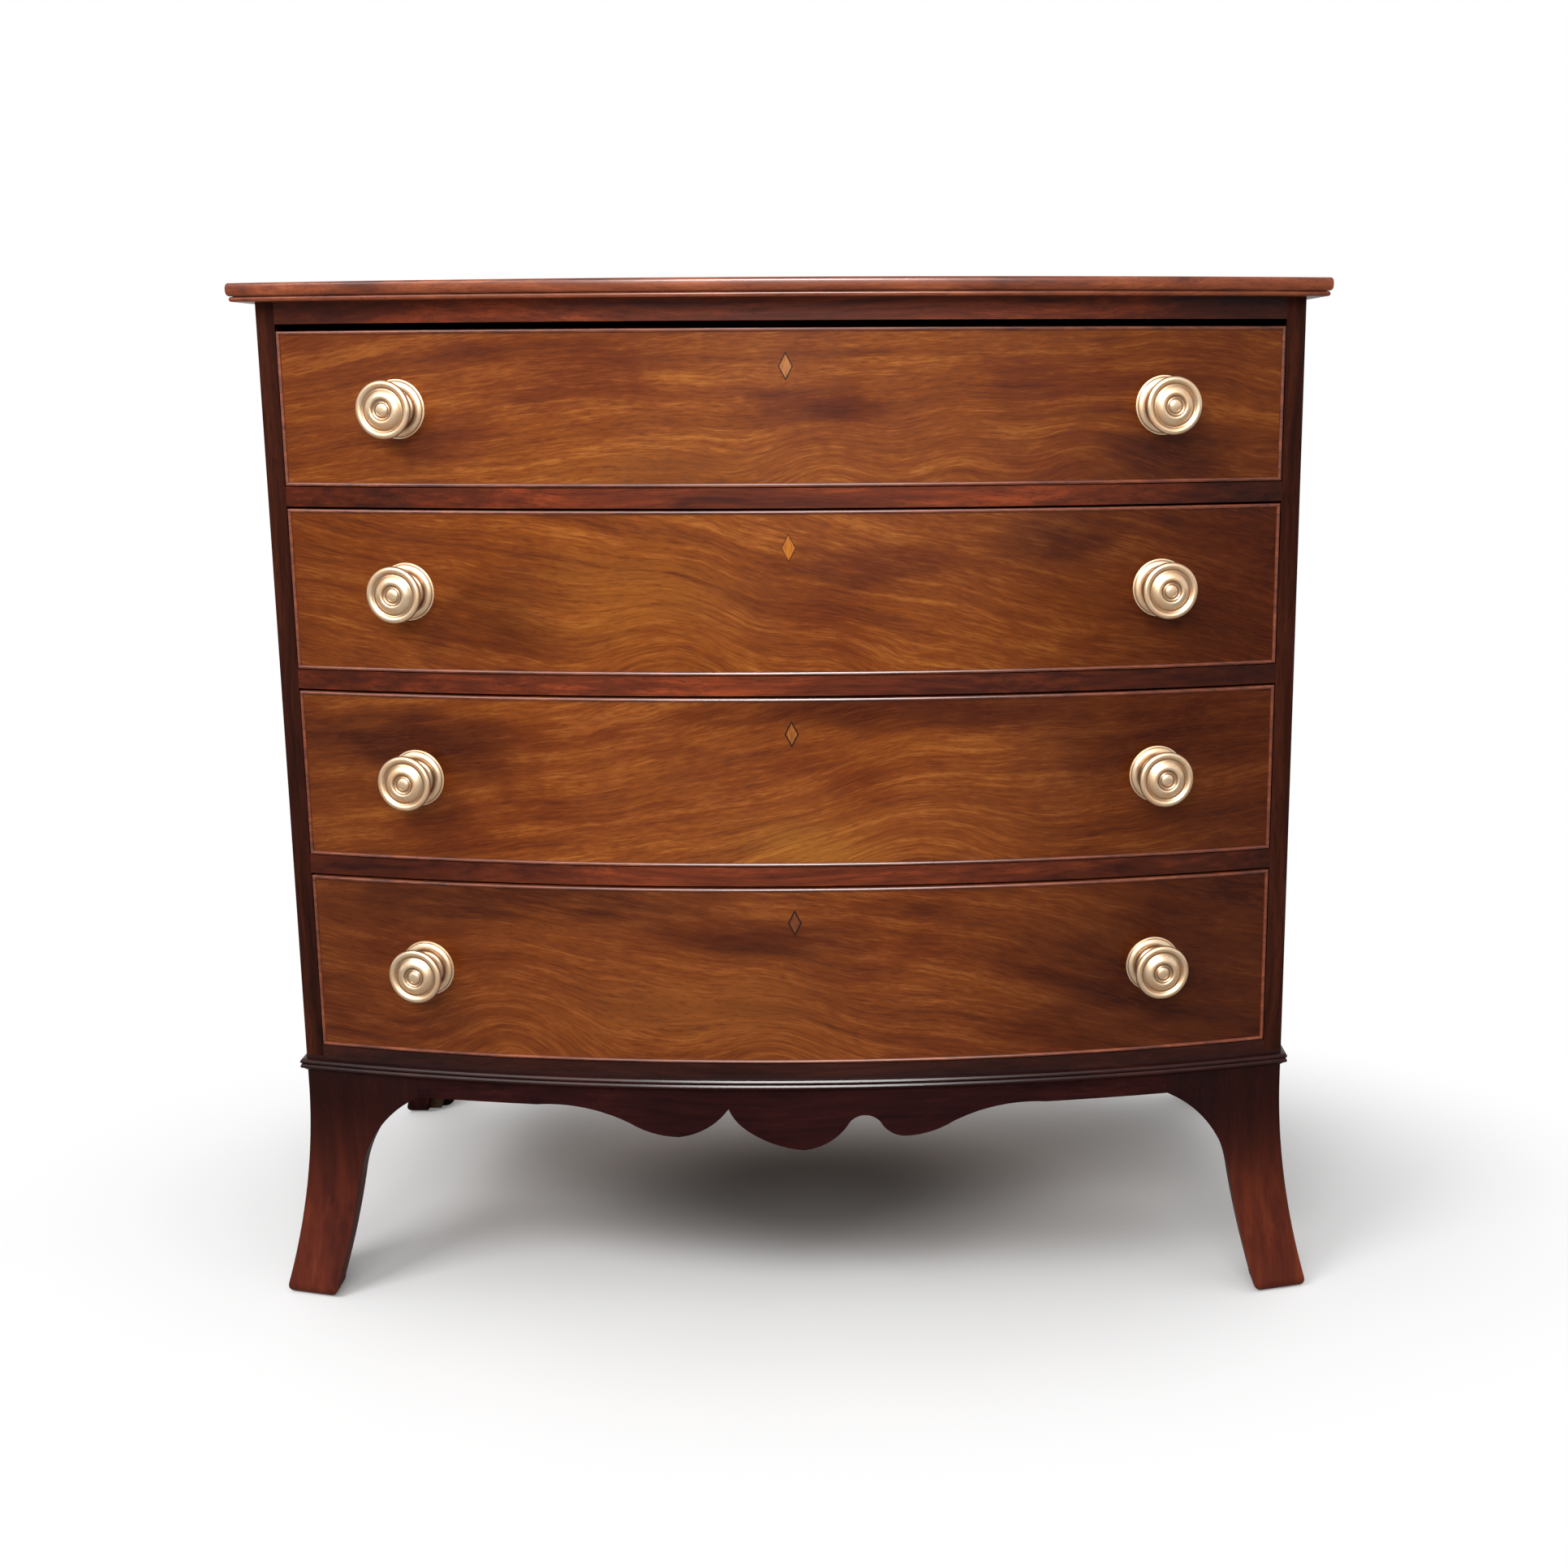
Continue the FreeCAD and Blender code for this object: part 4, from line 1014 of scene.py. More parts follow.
@dataclass
class Sweeper:
    """Carries a section along a path; the path's own vectors mitre the corners."""

    tree: Tree = field(init=False)

    def __post_init__(self) -> None:
        """Build the node tree."""
        tree, given = open_tree("sweep_section", (("Path", "NodeSocketGeometry"),
                                                  ("Section", "NodeSocketObject"),
                                                  ("Finish", "NodeSocketMaterial")))
        path = given.outputs["Path"]
        section = add(tree, "GeometryNodeObjectInfo",
                      {"Object": given.outputs["Section"]}).outputs["Geometry"]
        stations = add(tree, "GeometryNodeAttributeDomainSize", {"Geometry": path})
        points = add(tree, "GeometryNodeAttributeDomainSize", {"Geometry": section})
        grid = add(tree, "GeometryNodeMeshGrid",
                   {"Vertices X": stations.outputs["Point Count"],
                    "Vertices Y": points.outputs["Point Count"]})
        row, column = rows_and_columns(tree, points.outputs["Point Count"])
        position = add(tree, "GeometryNodeInputPosition").outputs[0]

        def sample(source: Socket, value: Socket, at: Socket) -> Socket:
            """Read a vector of another geometry's point, by its number."""
            node = add(tree, "GeometryNodeSampleIndex",
                       {"Geometry": source, "Value": value, "Index": at},
                       data_type="FLOAT_VECTOR")
            return node.outputs[0]

        vectors = {label: add(tree, "GeometryNodeInputNamedAttribute", {"Name": label},
                              data_type="FLOAT_VECTOR").outputs["Attribute"]
                   for label in ("across", "rise")}
        place = sample(path, position, row)
        in_section = add(tree, "ShaderNodeSeparateXYZ",
                         {0: sample(section, position, column)})
        for number, label in enumerate(("across", "rise")):
            moved = add(tree, "ShaderNodeVectorMath",
                        {0: sample(path, vectors[label], row),
                         "Scale": in_section.outputs[number]}, operation="SCALE")
            place = add(tree, "ShaderNodeVectorMath", {0: place, 1: moved.outputs[0]},
                        operation="ADD").outputs[0]
        placed = add(tree, "GeometryNodeSetPosition",
                     {"Geometry": grid.outputs["Mesh"], "Position": place})
        welded = add(tree, "GeometryNodeMergeByDistance",
                     {"Geometry": placed.outputs[0], "Distance": WELD})
        close_tree(tree, welded.outputs[0], given.outputs["Finish"])
        self.tree = tree

    def sweep(self, name: str, path: Sequence[Station], section: Section,
              finish: Material, sharp: float = SHARP_DEGREES) -> Piece:
        """Carry a section along a path.

        Args:
            name: The piece's name.
            path: The stations; where the path is closed, its first one is also its last.
            section: The section's points, across and up.
            finish: The piece's material.
            sharp: Edges that turn by more than this many degrees stay sharp.

        Returns:
            The piece, with its open ends closed.
        """
        host = bpy.data.meshes.new(f"{name}_path")
        host.from_pydata([station.place for station in path], [], [])
        for label in ("across", "rise"):
            values = host.attributes.new(label, "FLOAT_VECTOR", "POINT")
            for number, station in enumerate(path):
                values.data[number].vector = getattr(station, label)
        outline = bpy.data.meshes.new(f"{name}_section")
        outline.from_pydata([(across, up, 0.0) for across, up in section], [], [])
        holder = plain_object(f"{name}_section", outline)
        piece = grow(name, self.tree, host, {"Section": holder, "Finish": finish})
        bpy.data.objects.remove(holder)
        tidy_mesh(piece.data, sharp)
        return piece


def arc_points(centre: Pair, radius: float, start: float, end: float, steps: int) -> list[Pair]:
    """Points along an arc of a section, ends included.

    Args:
        centre: The arc's centre.
        radius: Its radius.
        start: Its first angle, in degrees.
        end: Its last angle.
        steps: How many straight runs it is cut into.

    Returns:
        The points.
    """
    angles = [math.radians(start + (end - start) * n / steps) for n in range(steps + 1)]
    return [(centre[0] + radius * math.cos(a), centre[1] + radius * math.sin(a))
            for a in angles]


def fat_arc(root: Pair, depth: float, half_height: float, power: float,
            steps: int) -> list[Pair]:
    """Outline of a reed from its foot to its head: rounder or squarer than a half ellipse.

    Args:
        root: Its middle, where it springs from; it stands off towards smaller numbers.
        depth: How far it stands off.
        half_height: Half of its height.
        power: Two gives an ellipse, and more gives a squarer face.
        steps: How many straight runs it is cut into.

    Returns:
        The points, foot first.
    """
    points = []
    for number in range(steps + 1):
        turn = math.pi * (number / steps - 0.5)
        out = math.cos(turn) ** (2 / power) if 0 < number < steps else 0.0
        up = math.copysign(abs(math.sin(turn)) ** (2 / power), turn)
        points.append((root[0] - depth * out, root[1] + half_height * up))
    return points


def show_copy(name: str, node: Piece) -> Piece:
    """Make a smooth-shaded copy of a frame node.

    Args:
        name: The copy's name.
        node: The frame's node.

    Returns:
        The copy.
    """
    mesh = node.data.copy()
    mesh.name = name
    mesh.materials.clear()
    tidy_mesh(mesh, sharp=30.0, close=False, flatten=0.3)
    return plain_object(name, mesh)


# ---- The shape that every front piece follows --------------------------------------------

@dataclass(frozen=True)
class Bow:
    """The arc of the front, seen from above."""

    half_width: float = 0.450
    rise: float = 0.062
    corner_y: float = -0.2005

    @property
    def radius(self) -> float:
        """The arc's radius."""
        return (self.half_width ** 2 + self.rise ** 2) / (2 * self.rise)

    @property
    def centre_y(self) -> float:
        """Y of the arc's centre."""
        return self.corner_y - self.rise + self.radius

    def angle(self, x: float, out: float = 0.0) -> float:
        """Angle round the arc at x, on a curve that stands off it."""
        return math.asin(x / (self.radius + out))

    def outward(self, angle: float) -> Vector:
        """Unit vector out of the front."""
        return Vector((math.sin(angle), -math.cos(angle), 0.0))

    def along(self, angle: float) -> Vector:
        """Unit vector along the front, towards +X."""
        return Vector((math.cos(angle), math.sin(angle), 0.0))

    def at(self, angle: float, out: float = 0.0, z: float = 0.0) -> Vector:
        """Point on a curve that stands off the arc."""
        return Vector((0.0, self.centre_y, z)) + self.outward(angle) * (self.radius + out)

    def angles(self, x: float, out: float = 0.0) -> list[float]:
        """Evenly spaced angles from -x to +x."""
        end = self.angle(x, out)
        return [end * (2 * n / ARC_STEPS - 1) for n in range(ARC_STEPS + 1)]


def mitre(end: float) -> float:
    """How far along the case a mitre runs for each unit across, where the bow ends."""
    return (1 - math.sin(end)) / math.cos(end)


BOW = Bow()
ARC_STEPS = 96
UP = Vector((0.0, 0.0, 1.0))
# How nearly a flat's corners share a radius, and how squarely it faces the bow, to be shaded as
# part of it; and how far off the front's own arc a corner of a drawer's face may lie.
SAME_RADIUS = 0.02 * MM
FACES_THE_BOW = 0.9
FACE_SLACK = 0.2 * MM


def follow_bow(mesh: Mesh) -> None:
    """Shade the flats that lie on curves concentric with the bow as those curves.

    Args:
        mesh: The mesh, which gets custom normals.
    """
    normals = [(0.0, 0.0, 0.0)] * len(mesh.loops)
    for polygon in mesh.polygons:
        arms = []
        for number in polygon.loop_indices:
            place = mesh.vertices[mesh.loops[number].vertex_index].co
            arms.append(Vector((place.x, place.y - BOW.centre_y, 0.0)))
        lengths = [arm.length for arm in arms]
        facing = arms[0].normalized().dot(polygon.normal)
        if max(lengths) - min(lengths) > SAME_RADIUS or abs(facing) < FACES_THE_BOW:
            continue
        for number, arm in zip(polygon.loop_indices, arms):
            normals[number] = tuple(arm.normalized() * math.copysign(1.0, facing))
    mesh.normals_split_custom_set(normals)


# ---- Sub-assemblies --------------------------------------------------------------------

@dataclass
class Workshop:
    """What every sub-assembly needs: the frame, the tools and the shared finishes."""

    frame: dict[str, Any]
    sweeper: Sweeper = field(default_factory=Sweeper)
    made: dict[tuple[str, Axis], Material] = field(default_factory=dict)

    def timber(self, wood: Timber, along: Axis) -> Material:
        """The material of a wood with its grain along an axis, made once.

        Args:
            wood: The wood.
            along: The way that its grain runs.

        Returns:
            The material.
        """
        key = (wood.name, along)
        if key not in self.made:
            self.made[key] = wood.material(along)
        return self.made[key]

    def node(self, name: str) -> Piece:
        """A node of the frame."""
        return self.frame["nodes"][name]

    def dress(self, name: str, finish: Material) -> None:
        """Give a node of the frame its finish.

        Args:
            name: The node's name.
            finish: The finish.
        """
        mesh = self.node(name).data
        mesh.materials.clear()
        mesh.materials.append(finish)
        LOG.info("dressed %s in %s", name, finish.name)

    def settle(self, piece: Piece, body: str, slot: str, *nodes: str) -> None:
        """Make a piece ride on its body and stand for its nodes.

        Args:
            piece: The finished piece.
            body: The frame body that it moves with.
            slot: Not used.
            nodes: The frame nodes that it stands for.
        """
        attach(piece, body)
        if nodes:
            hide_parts(*nodes)
        LOG.info("%s: %d faces, rides on %s", piece.name, len(piece.data.polygons), body)


@dataclass
class Top:
    """The top: a large reed over a small bead, worked round the front and both ends."""

    shop: Workshop
    overhang: float = 20.88 * MM
    half_width: float = 469.5 * MM
    back_y: float = 283.5 * MM
    bead_height: float = 4.0 * MM
    bead_depth: float = 1.6 * MM
    bead_setback: float = 2.2 * MM
    quirk: float = 0.5 * MM
    quirk_depth: float = 5.0 * MM
    reed_height: float = 11.0 * MM
    reed_depth: float = 3.2 * MM
    reed_squareness: float = 2.6
    margin: float = 6.0 * MM
    shoulder: float = 0.4 * MM

    def section(self) -> list[Pair]:
        """Draw the section of the edge.

        The narrow shoulder behind the reed keeps the reed's shading off the flat.

        Returns:
            The points, as distance in from the edge and height above the underside.
        """
        bead_root = self.bead_setback + self.bead_depth
        bead = fat_arc((bead_root, self.bead_height / 2), self.bead_depth, self.bead_height / 2,
                       power=2.0, steps=12)
        reed_foot = self.bead_height + self.quirk
        reed = fat_arc((self.reed_depth, reed_foot + self.reed_height / 2), self.reed_depth,
                       self.reed_height / 2, power=self.reed_squareness, steps=24)
        top = reed_foot + self.reed_height
        return [(self.margin, 0.0), (bead_root + self.shoulder, 0.0), *bead,
                (self.quirk_depth, self.bead_height), (self.quirk_depth, reed_foot), *reed,
                (self.reed_depth + self.shoulder, top), (self.margin, top)]

    def path(self, z: float) -> list[Station]:
        """Lay the path round the edge, from the back left corner and back to it.

        Args:
            z: Height of the underside.

        Returns:
            The stations.
        """
        angles = BOW.angles(self.half_width, self.overhang)
        turn = mitre(angles[-1])
        stations = [Station(Vector((-self.half_width, self.back_y, z)), Vector((1, 0, 0)))]
        for number, angle in enumerate(angles):
            across = -BOW.outward(angle)
            if number in (0, ARC_STEPS):
                across = Vector((1.0 if number == 0 else -1.0, turn, 0.0))
            stations.append(Station(BOW.at(angle, self.overhang, z), across))
        stations.append(Station(Vector((self.half_width, self.back_y, z)), Vector((-1, 0, 0))))
        return stations + stations[:1]

    def build(self) -> None:
        """Make the top and dress it."""
        piece = self.shop.sweeper.sweep("top", self.path(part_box("top_board")[0].z),
                                        self.section(),
                                        self.shop.timber(EDGE_MAHOGANY, Axis.X))
        self.shop.settle(piece, "carcase", "dark_mahogany", "top_board")


@dataclass
class BaseMoulding:
    """Two fine reeds with a slope below and a fillet above, round the front and both sides."""

    shop: Workshop
    root: float = 3.2 * MM
    reed_radius: float = 2.2 * MM
    foot: float = 2.6 * MM
    slope: float = 3.7 * MM
    notch: float = 0.6 * MM
    fillet: float = 0.2 * MM
    reed_arcs: tuple[tuple[int, int, int], ...] = ((-80, 8, 8), (56, 80, 2))
    back_y: float = 277.5 * MM
    sharp: float = 17.0

    def section(self) -> list[Pair]:
        """Draw the section: each reed is worn flat where it faces up and out.

        Returns:
            The points, as distance out from the case and height above the lower edge.
        """
        radius = self.reed_radius
        lower, upper = self.foot + radius, self.foot + 3 * radius
        top = upper + radius
        points = [(0.0, 0.0), (self.root, self.foot)]
        for middle in (lower, upper):
            for arc in self.reed_arcs:
                points += arc_points((self.root, middle), radius, *arc)
            points += [(self.root - self.notch, middle + radius)]
        return points + [(self.fillet, top + self.fillet), (0.0, top + self.slope), (0.0, 0.0)]

    def build(self) -> None:
        """Make the mouldings and dress them."""
        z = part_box("base_moulding_front")[0].z
        end = BOW.angle(BOW.half_width)
        turn = mitre(end)
        front = []
        for angle in BOW.angles(BOW.half_width):
            across = BOW.outward(angle)
            if abs(abs(angle) - end) < SAME_ANGLE:
                across = across + BOW.along(angle) * math.copysign(turn, angle)
            front.append(Station(BOW.at(angle, 0.0, z), across))
        piece = self.shop.sweeper.sweep("base_moulding_round_front", front, self.section(),
                                        self.shop.timber(MOULDED_MAHOGANY, Axis.X), self.sharp)
        self.shop.settle(piece, "carcase", "dark_mahogany", "base_moulding_front")

        finish = self.shop.timber(MOULDED_MAHOGANY, Axis.Y)
        sides = []
        for side in (-1.0, 1.0):
            corner = Vector((side * BOW.half_width, BOW.corner_y, z))
            rear = Vector((side * BOW.half_width, self.back_y, z))
            run = [Station(corner, Vector((side, -turn, 0.0))),
                   Station(rear, Vector((side, 0.0, 0.0)))]
            sides.append(self.shop.sweeper.sweep(f"side_{side:.0f}", run, self.section(),
                                                 finish, self.sharp))
        piece = joined("base_moulding_on_sides", sides, finish)
        tidy_mesh(piece.data, self.sharp)
        self.shop.settle(piece, "carcase", "dark_mahogany", "base_moulding_sides")


@dataclass
class Case:
    """Sides, rails, and the plain wood inside and behind."""

    shop: Workshop
    rails: tuple[str, ...] = ("top_front_rail", "divider_rail_1", "divider_rail_2",
                              "divider_rail_3", "bottom_front_rail")
    pine_across: tuple[str, ...] = ("dust_boards", "carcase_bottom", "top_back_rail",
                                    "drawer_stops")
    pine_deep: tuple[str, ...] = ("drawer_runners", "top_kickers")

    def build(self) -> None:
        """Make the show pieces and dress the rest."""
        shop = self.shop
        for name in ("side_left", "side_right"):
            piece = show_copy(f"case_{name}", shop.node(name))
            piece.data.materials.append(shop.timber(SIDE_MAHOGANY, Axis.Z))
            shop.settle(piece, "carcase", "dark_mahogany", name)
        for name in self.rails:
            piece = show_copy(f"bowed_{name}", shop.node(name))
            follow_bow(piece.data)
            wood = LOW_MAHOGANY if name == self.rails[-1] else DARK_MAHOGANY
            piece.data.materials.append(shop.timber(wood, Axis.X))
            shop.settle(piece, "carcase", "dark_mahogany", name)
        for names, along in ((self.pine_across, Axis.X), (self.pine_deep, Axis.Y)):
            for name in names:
                shop.dress(name, shop.timber(PINE, along))
        # The glue blocks get the dark pine: partly dirt, partly painted shade.
        shop.dress("foot_blocks", shop.timber(SHADED_DIRTY_PINE, Axis.Z))


@dataclass(frozen=True)
class Bracket:
    """Outline of a foot: how wide its bracket is and how far it kicks out at each height."""

    top: float = 213.0 * MM
    skirt: float = 195.0 * MM
    thickness: float = 24.0 * MM
    splay: float = 28.0 * MM
    splay_top: float = 198.09 * MM
    toe_round: float = 13.0 * MM
    toe_ease: float = 9.0 * MM
    reach: float = 108.0 * MM
    shoulder: Pair = (80.5 * MM, 175.5 * MM)
    knee: Pair = (52.5 * MM, 111.15 * MM)
    ankle: Pair = (50.5 * MM, 60.45 * MM)
    toe_width: float = 49.5 * MM
    row_height: float = 5.0 * MM
    seam: float = 0.01 * MM

    def kick(self, height: float) -> float:
        """How far the foot has kicked out at a height, on an arc."""
        radius = (self.splay_top ** 2 + self.splay ** 2) / (2 * self.splay)
        down = max(0.0, self.splay_top - height)
        return radius - math.sqrt(radius ** 2 - down ** 2)

    def face(self, height: float) -> float:
        """How far the outer face has kicked out, less the rounding of the toe."""
        short = max(0.0, self.toe_ease - height)
        eased = self.toe_ease - math.sqrt(self.toe_ease ** 2 - short ** 2)
        return self.kick(height) - eased

    def width(self, height: float, kicked: bool) -> float:
        """Distance in from the case's corner to the bracket's shaped edge at a height.

        Args:
            height: The height above the floor.
            kicked: Whether that edge of the leg splays.

        Returns:
            The distance.
        """
        def there(point: Pair) -> Pair:
            """A point of the shaped edge, moved with the splay."""
            return (point[0] - (self.kick(point[1]) if kicked else 0.0), point[1])

        if height >= self.skirt:
            return self.reach
        knee, toe = there(self.knee), there((self.toe_width, self.toe_round))
        if height >= knee[1]:
            return on_arc((self.reach, self.skirt), there(self.shoulder), knee, height)
        if height >= self.toe_round:
            return on_arc(knee, there(self.ankle), toe, height)
        short = self.toe_round - height
        return toe[0] - self.toe_round + math.sqrt(self.toe_round ** 2 - short ** 2)

    def heights(self) -> list[float]:
        """Heights of the rows of the mesh, closer together in the rounded toe."""
        toe = [self.toe_round * (1 - math.cos(math.radians(angle))) for angle in range(0, 90, 9)]
        tall = self.skirt - self.toe_round
        count = round(tall / self.row_height)
        leg = [self.toe_round + tall * n / count for n in range(count + 1)]
        return toe + leg + [self.skirt + self.seam, self.top]


def on_arc(first: Pair, middle: Pair, last: Pair, height: float) -> float:
    """Across of the arc through three points at a height.

    Args:
        first: One end, as across and height.
        middle: A point between.
        last: The other end.
        height: The height.

    Returns:
        How far across the arc is there.
    """
    a, b, c = (complex(*point) for point in (first, middle, last))
    w = (c - a) / (b - a)
    centre = (b - a) * (w - abs(w) ** 2) / (2j * w.imag) + a
    radius = abs(a - centre)
    side = math.copysign(1.0, b.real - centre.real)
    return centre.real + side * math.sqrt(radius ** 2 - (height - centre.imag) ** 2)


def eased_ring(corners: Sequence[tuple[Vector, float]], steps: int = 4) -> list[Vector]:
    """Round some corners of a closed outline.

    Args:
        corners: Each corner and how far along its edges the rounding starts, or nothing.
        steps: How many straight runs a rounded corner is cut into.

    Returns:
        The points.
    """
    points = []
    count = len(corners)
    for number, (corner, ease) in enumerate(corners):
        if not ease:
            points.append(corner)
            continue
        start = corner + (corners[number - 1][0] - corner).normalized() * ease
        end = corner + (corners[(number + 1) % count][0] - corner).normalized() * ease
        for step in range(steps + 1):
            t = step / steps
            points.append(start * (1 - t) ** 2 + corner * 2 * t * (1 - t) + end * t ** 2)
    return points


@dataclass
class FootMaker:
    """Makes a pair of splayed feet, each as a stack of rings from the floor to the case."""

    bracket: Bracket = field(default_factory=Bracket)
    back_y: float = 277.5 * MM
    arris: float = 0.9 * MM
    face_steps: int = 6

    def round_bow(self, start: float, end: float, out: float) -> list[Vector]:
        """Lay points along a curve that stands off the bow.

        Args:
            start: X of the first point.
            end: X of the last one.
            out: How far the curve stands off.

        Returns:
            The points.
        """
        angles = [BOW.angle(x, out) for x in (start, end)]
        return [BOW.at(angles[0] + (angles[1] - angles[0]) * n / self.face_steps, out)
                for n in range(self.face_steps + 1)]

    def front_ring(self, height: float) -> Ring:
        """Outline the right front foot: the bowed bracket and the side one.

        Args:
            height: The height above the floor.

        Returns:
            The corners, each with how far its rounding reaches.
        """
        kick, face = self.bracket.kick(height), self.bracket.face(height)
        width = self.bracket.width(height, True)
        inside = kick - self.bracket.thickness
        start, end = BOW.half_width - width, BOW.half_width + face
        inner = BOW.half_width + inside
        rear = BOW.corner_y + width
        outer = self.round_bow(start, end, face)
        back = self.round_bow(inner, start, inside)
        ring = [(outer[0], self.arris)] + [(point, 0.0) for point in outer[1:-1]]
        ring += [(outer[-1], self.arris), (Vector((end, rear, 0.0)), self.arris),
                 (Vector((inner, rear, 0.0)), 0.0)]
        return ring + [(point, 0.0) for point in back]

    def back_ring(self, height: float) -> Ring:
        """Outline the right back foot: the side bracket and the one behind.

        Args:
            height: The height above the floor.

        Returns:
            The corners, each with how far its rounding reaches.
        """
        kick, face = self.bracket.kick(height), self.bracket.face(height)
        start = BOW.half_width - self.bracket.width(height, True)
        end, inner = BOW.half_width + face, BOW.half_width + kick - self.bracket.thickness
        front = self.back_y - self.bracket.width(height, False)
        inside = self.back_y - self.bracket.thickness
        return [(Vector((x, y, 0.0)), ease) for x, y, ease in (
            (start, self.back_y, 0.0), (end, self.back_y, self.arris), (end, front, self.arris),
            (inner, front, 0.0), (inner, inside, 0.0), (start, inside, 0.0))]

    def make(self, name: str, ring_at: Callable[[float], Ring]) -> Piece:
        """Make a pair of feet.

        Args:
            name: The piece's name.
            ring_at: Gives the corners of the right foot at a height.

        Returns:
            The pair as one piece.
        """
        work = bmesh.new()
        for side in (1.0, -1.0):
            rows = []
            for height in self.bracket.heights():
                rows.append([work.verts.new((side * point.x, point.y, height))
                             for point in eased_ring(ring_at(height))])
            for lower, upper in zip(rows, rows[1:]):
                for number, vertex in enumerate(lower):
                    work.faces.new((lower[number - 1], vertex, upper[number],
                                    upper[number - 1]))
            caps = [work.faces.new(rows[0]), work.faces.new(rows[-1])]
            bmesh.ops.triangulate(work, faces=caps)
        mesh = bpy.data.meshes.new(name)
        work.to_mesh(mesh)
        work.free()
        tidy_mesh(mesh, sharp=40.0)
        return plain_object(name, mesh)


@dataclass
class Base:
    """The apron, the side skirts and the four splayed feet."""

    shop: Workshop

    def build(self) -> None:
        """Make the show pieces and dress them."""
        maker = FootMaker()
        pieces = {name: show_copy(f"shaped_{name}", self.shop.node(name))
                  for name in ("apron", "side_skirts")}
        follow_bow(pieces["apron"].data)
        pieces["front_feet"] = maker.make("shaped_front_feet", maker.front_ring)
        pieces["back_feet"] = maker.make("shaped_back_feet", maker.back_ring)
        # The back feet take the darker apron wood as painted shade.
        for name, wood, along in (("apron", APRON_MAHOGANY, Axis.X),
                                  ("side_skirts", RED_MAHOGANY, Axis.Y),
                                  ("front_feet", RED_MAHOGANY, Axis.Z),
                                  ("back_feet", APRON_MAHOGANY, Axis.Z)):
            pieces[name].data.materials.append(self.shop.timber(wood, along))
            self.shop.settle(pieces[name], "carcase", "dark_mahogany", name)


@dataclass
class NailDriver:
    """Drives small cut nails into a flat board from a list of points."""

    flatness: Triple = (1.0, 0.3, 0.72)
    most_turn: float = 0.6
    tree: Tree = field(init=False)

    def __post_init__(self) -> None:
        """Build the node tree."""
        tree, given = open_tree("cut_nails", (("Points", "NodeSocketGeometry"),
                                              ("Head", "NodeSocketFloat"),
                                              ("Seed", "NodeSocketInt"),
                                              ("Finish", "NodeSocketMaterial")))
        head = add(tree, "GeometryNodeMeshIcoSphere",
                   {"Radius": given.outputs["Head"], "Subdivisions": 2})
        flat = add(tree, "GeometryNodeTransform",
                   {"Geometry": head.outputs["Mesh"], "Scale": self.flatness})
        turn = add(tree, "FunctionNodeRandomValue",
                   {0: (0.0, -self.most_turn, 0.0), 1: (0.0, self.most_turn, 0.0),
                    "Seed": given.outputs["Seed"]}, data_type="FLOAT_VECTOR")
        heads = add(tree, "GeometryNodeInstanceOnPoints",
                    {"Points": given.outputs["Points"], "Instance": flat.outputs[0],
                     "Rotation": turn.outputs[0]})
        close_tree(tree, heads.outputs[0], given.outputs["Finish"])
        self.tree = tree

    def drive(self, name: str, points: Sequence[Vector], head: float, seed: int,
              finish: Material) -> Piece:
        """Make the nails.

        Args:
            name: The piece's name.
            points: Where each head's middle is.
            head: Radius of a head.
            seed: Seed of their turns.
            finish: Their material.

        Returns:
            The nails as one piece.
        """
        host = bpy.data.meshes.new(f"{name}_points")
        host.from_pydata([tuple(point) for point in points], [], [])
        piece = grow(name, self.tree, host, {"Head": head, "Seed": seed, "Finish": finish})
        tidy_mesh(piece.data, sharp=60.0)
        return piece


@dataclass
class BackBoards:
    """Four half-lapped upright boards, shrunk a little so that their joints show."""

    shop: Workshop
    count: int = 4
    lap: float = 8.0 * MM
    gap: float = 1.0 * MM
    arris: float = 1.4 * MM

    def section(self, left: float, right: float, near: float, far: float,
                first: bool, last: bool) -> list[Pair]:
        """Plan of one board, anticlockwise from above.

        Args:
            left: Where the board's outer half starts.
            right: Where it ends.
            near: The face towards the drawers.
            far: The face at the back.
            first: Whether this is the first board from the left.
            last: Whether it is the last one.

        Returns:
            The corners.
        """
        half = (near + far) / 2
        left += 0.0 if first else self.gap / 2
        right -= 0.0 if last else self.gap / 2
        inner_left = left if first else left + self.lap + self.gap
        inner_right = right if last else right + self.lap
        lower = [(inner_left, near), (inner_right, near)]
        lower += [] if last else [(inner_right, half), (right, half)]
        upper = [(right, far - self.arris), (right - self.arris, far),
                 (left + self.arris, far), (left, far - self.arris)]
        return lower + upper + ([] if first else [(left, half), (inner_left, half)])

    def build(self) -> None:
        """Make the boards and dress them."""
        low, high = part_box("back_boards")
        width = (high.x - low.x) / self.count
        places: list[Triple] = []
        faces: list[list[int]] = []
        for number in range(self.count):
            left = low.x + number * width
            plan = self.section(left, left + width, low.y, high.y, number == 0,
                                number == self.count - 1)
            start, corners = len(places), len(plan)
            places += [(x, y, z) for z in (low.z, high.z) for x, y in plan]
            faces.append([start + n for n in reversed(range(corners))])
            faces.append([start + corners + n for n in range(corners)])
            for n in range(corners):
                after = (n + 1) % corners
                faces.append([start + n, start + after, start + corners + after,
                              start + corners + n])
        mesh = bpy.data.meshes.new("lapped_back_boards")
        mesh.from_pydata(places, [], faces)
        tidy_mesh(mesh, close=False)
        mesh.materials.append(self.shop.timber(BACK_PINE, Axis.Z))
        piece = plain_object("lapped_back_boards", mesh)
        self.shop.settle(piece, "carcase", "pine", "back_boards")


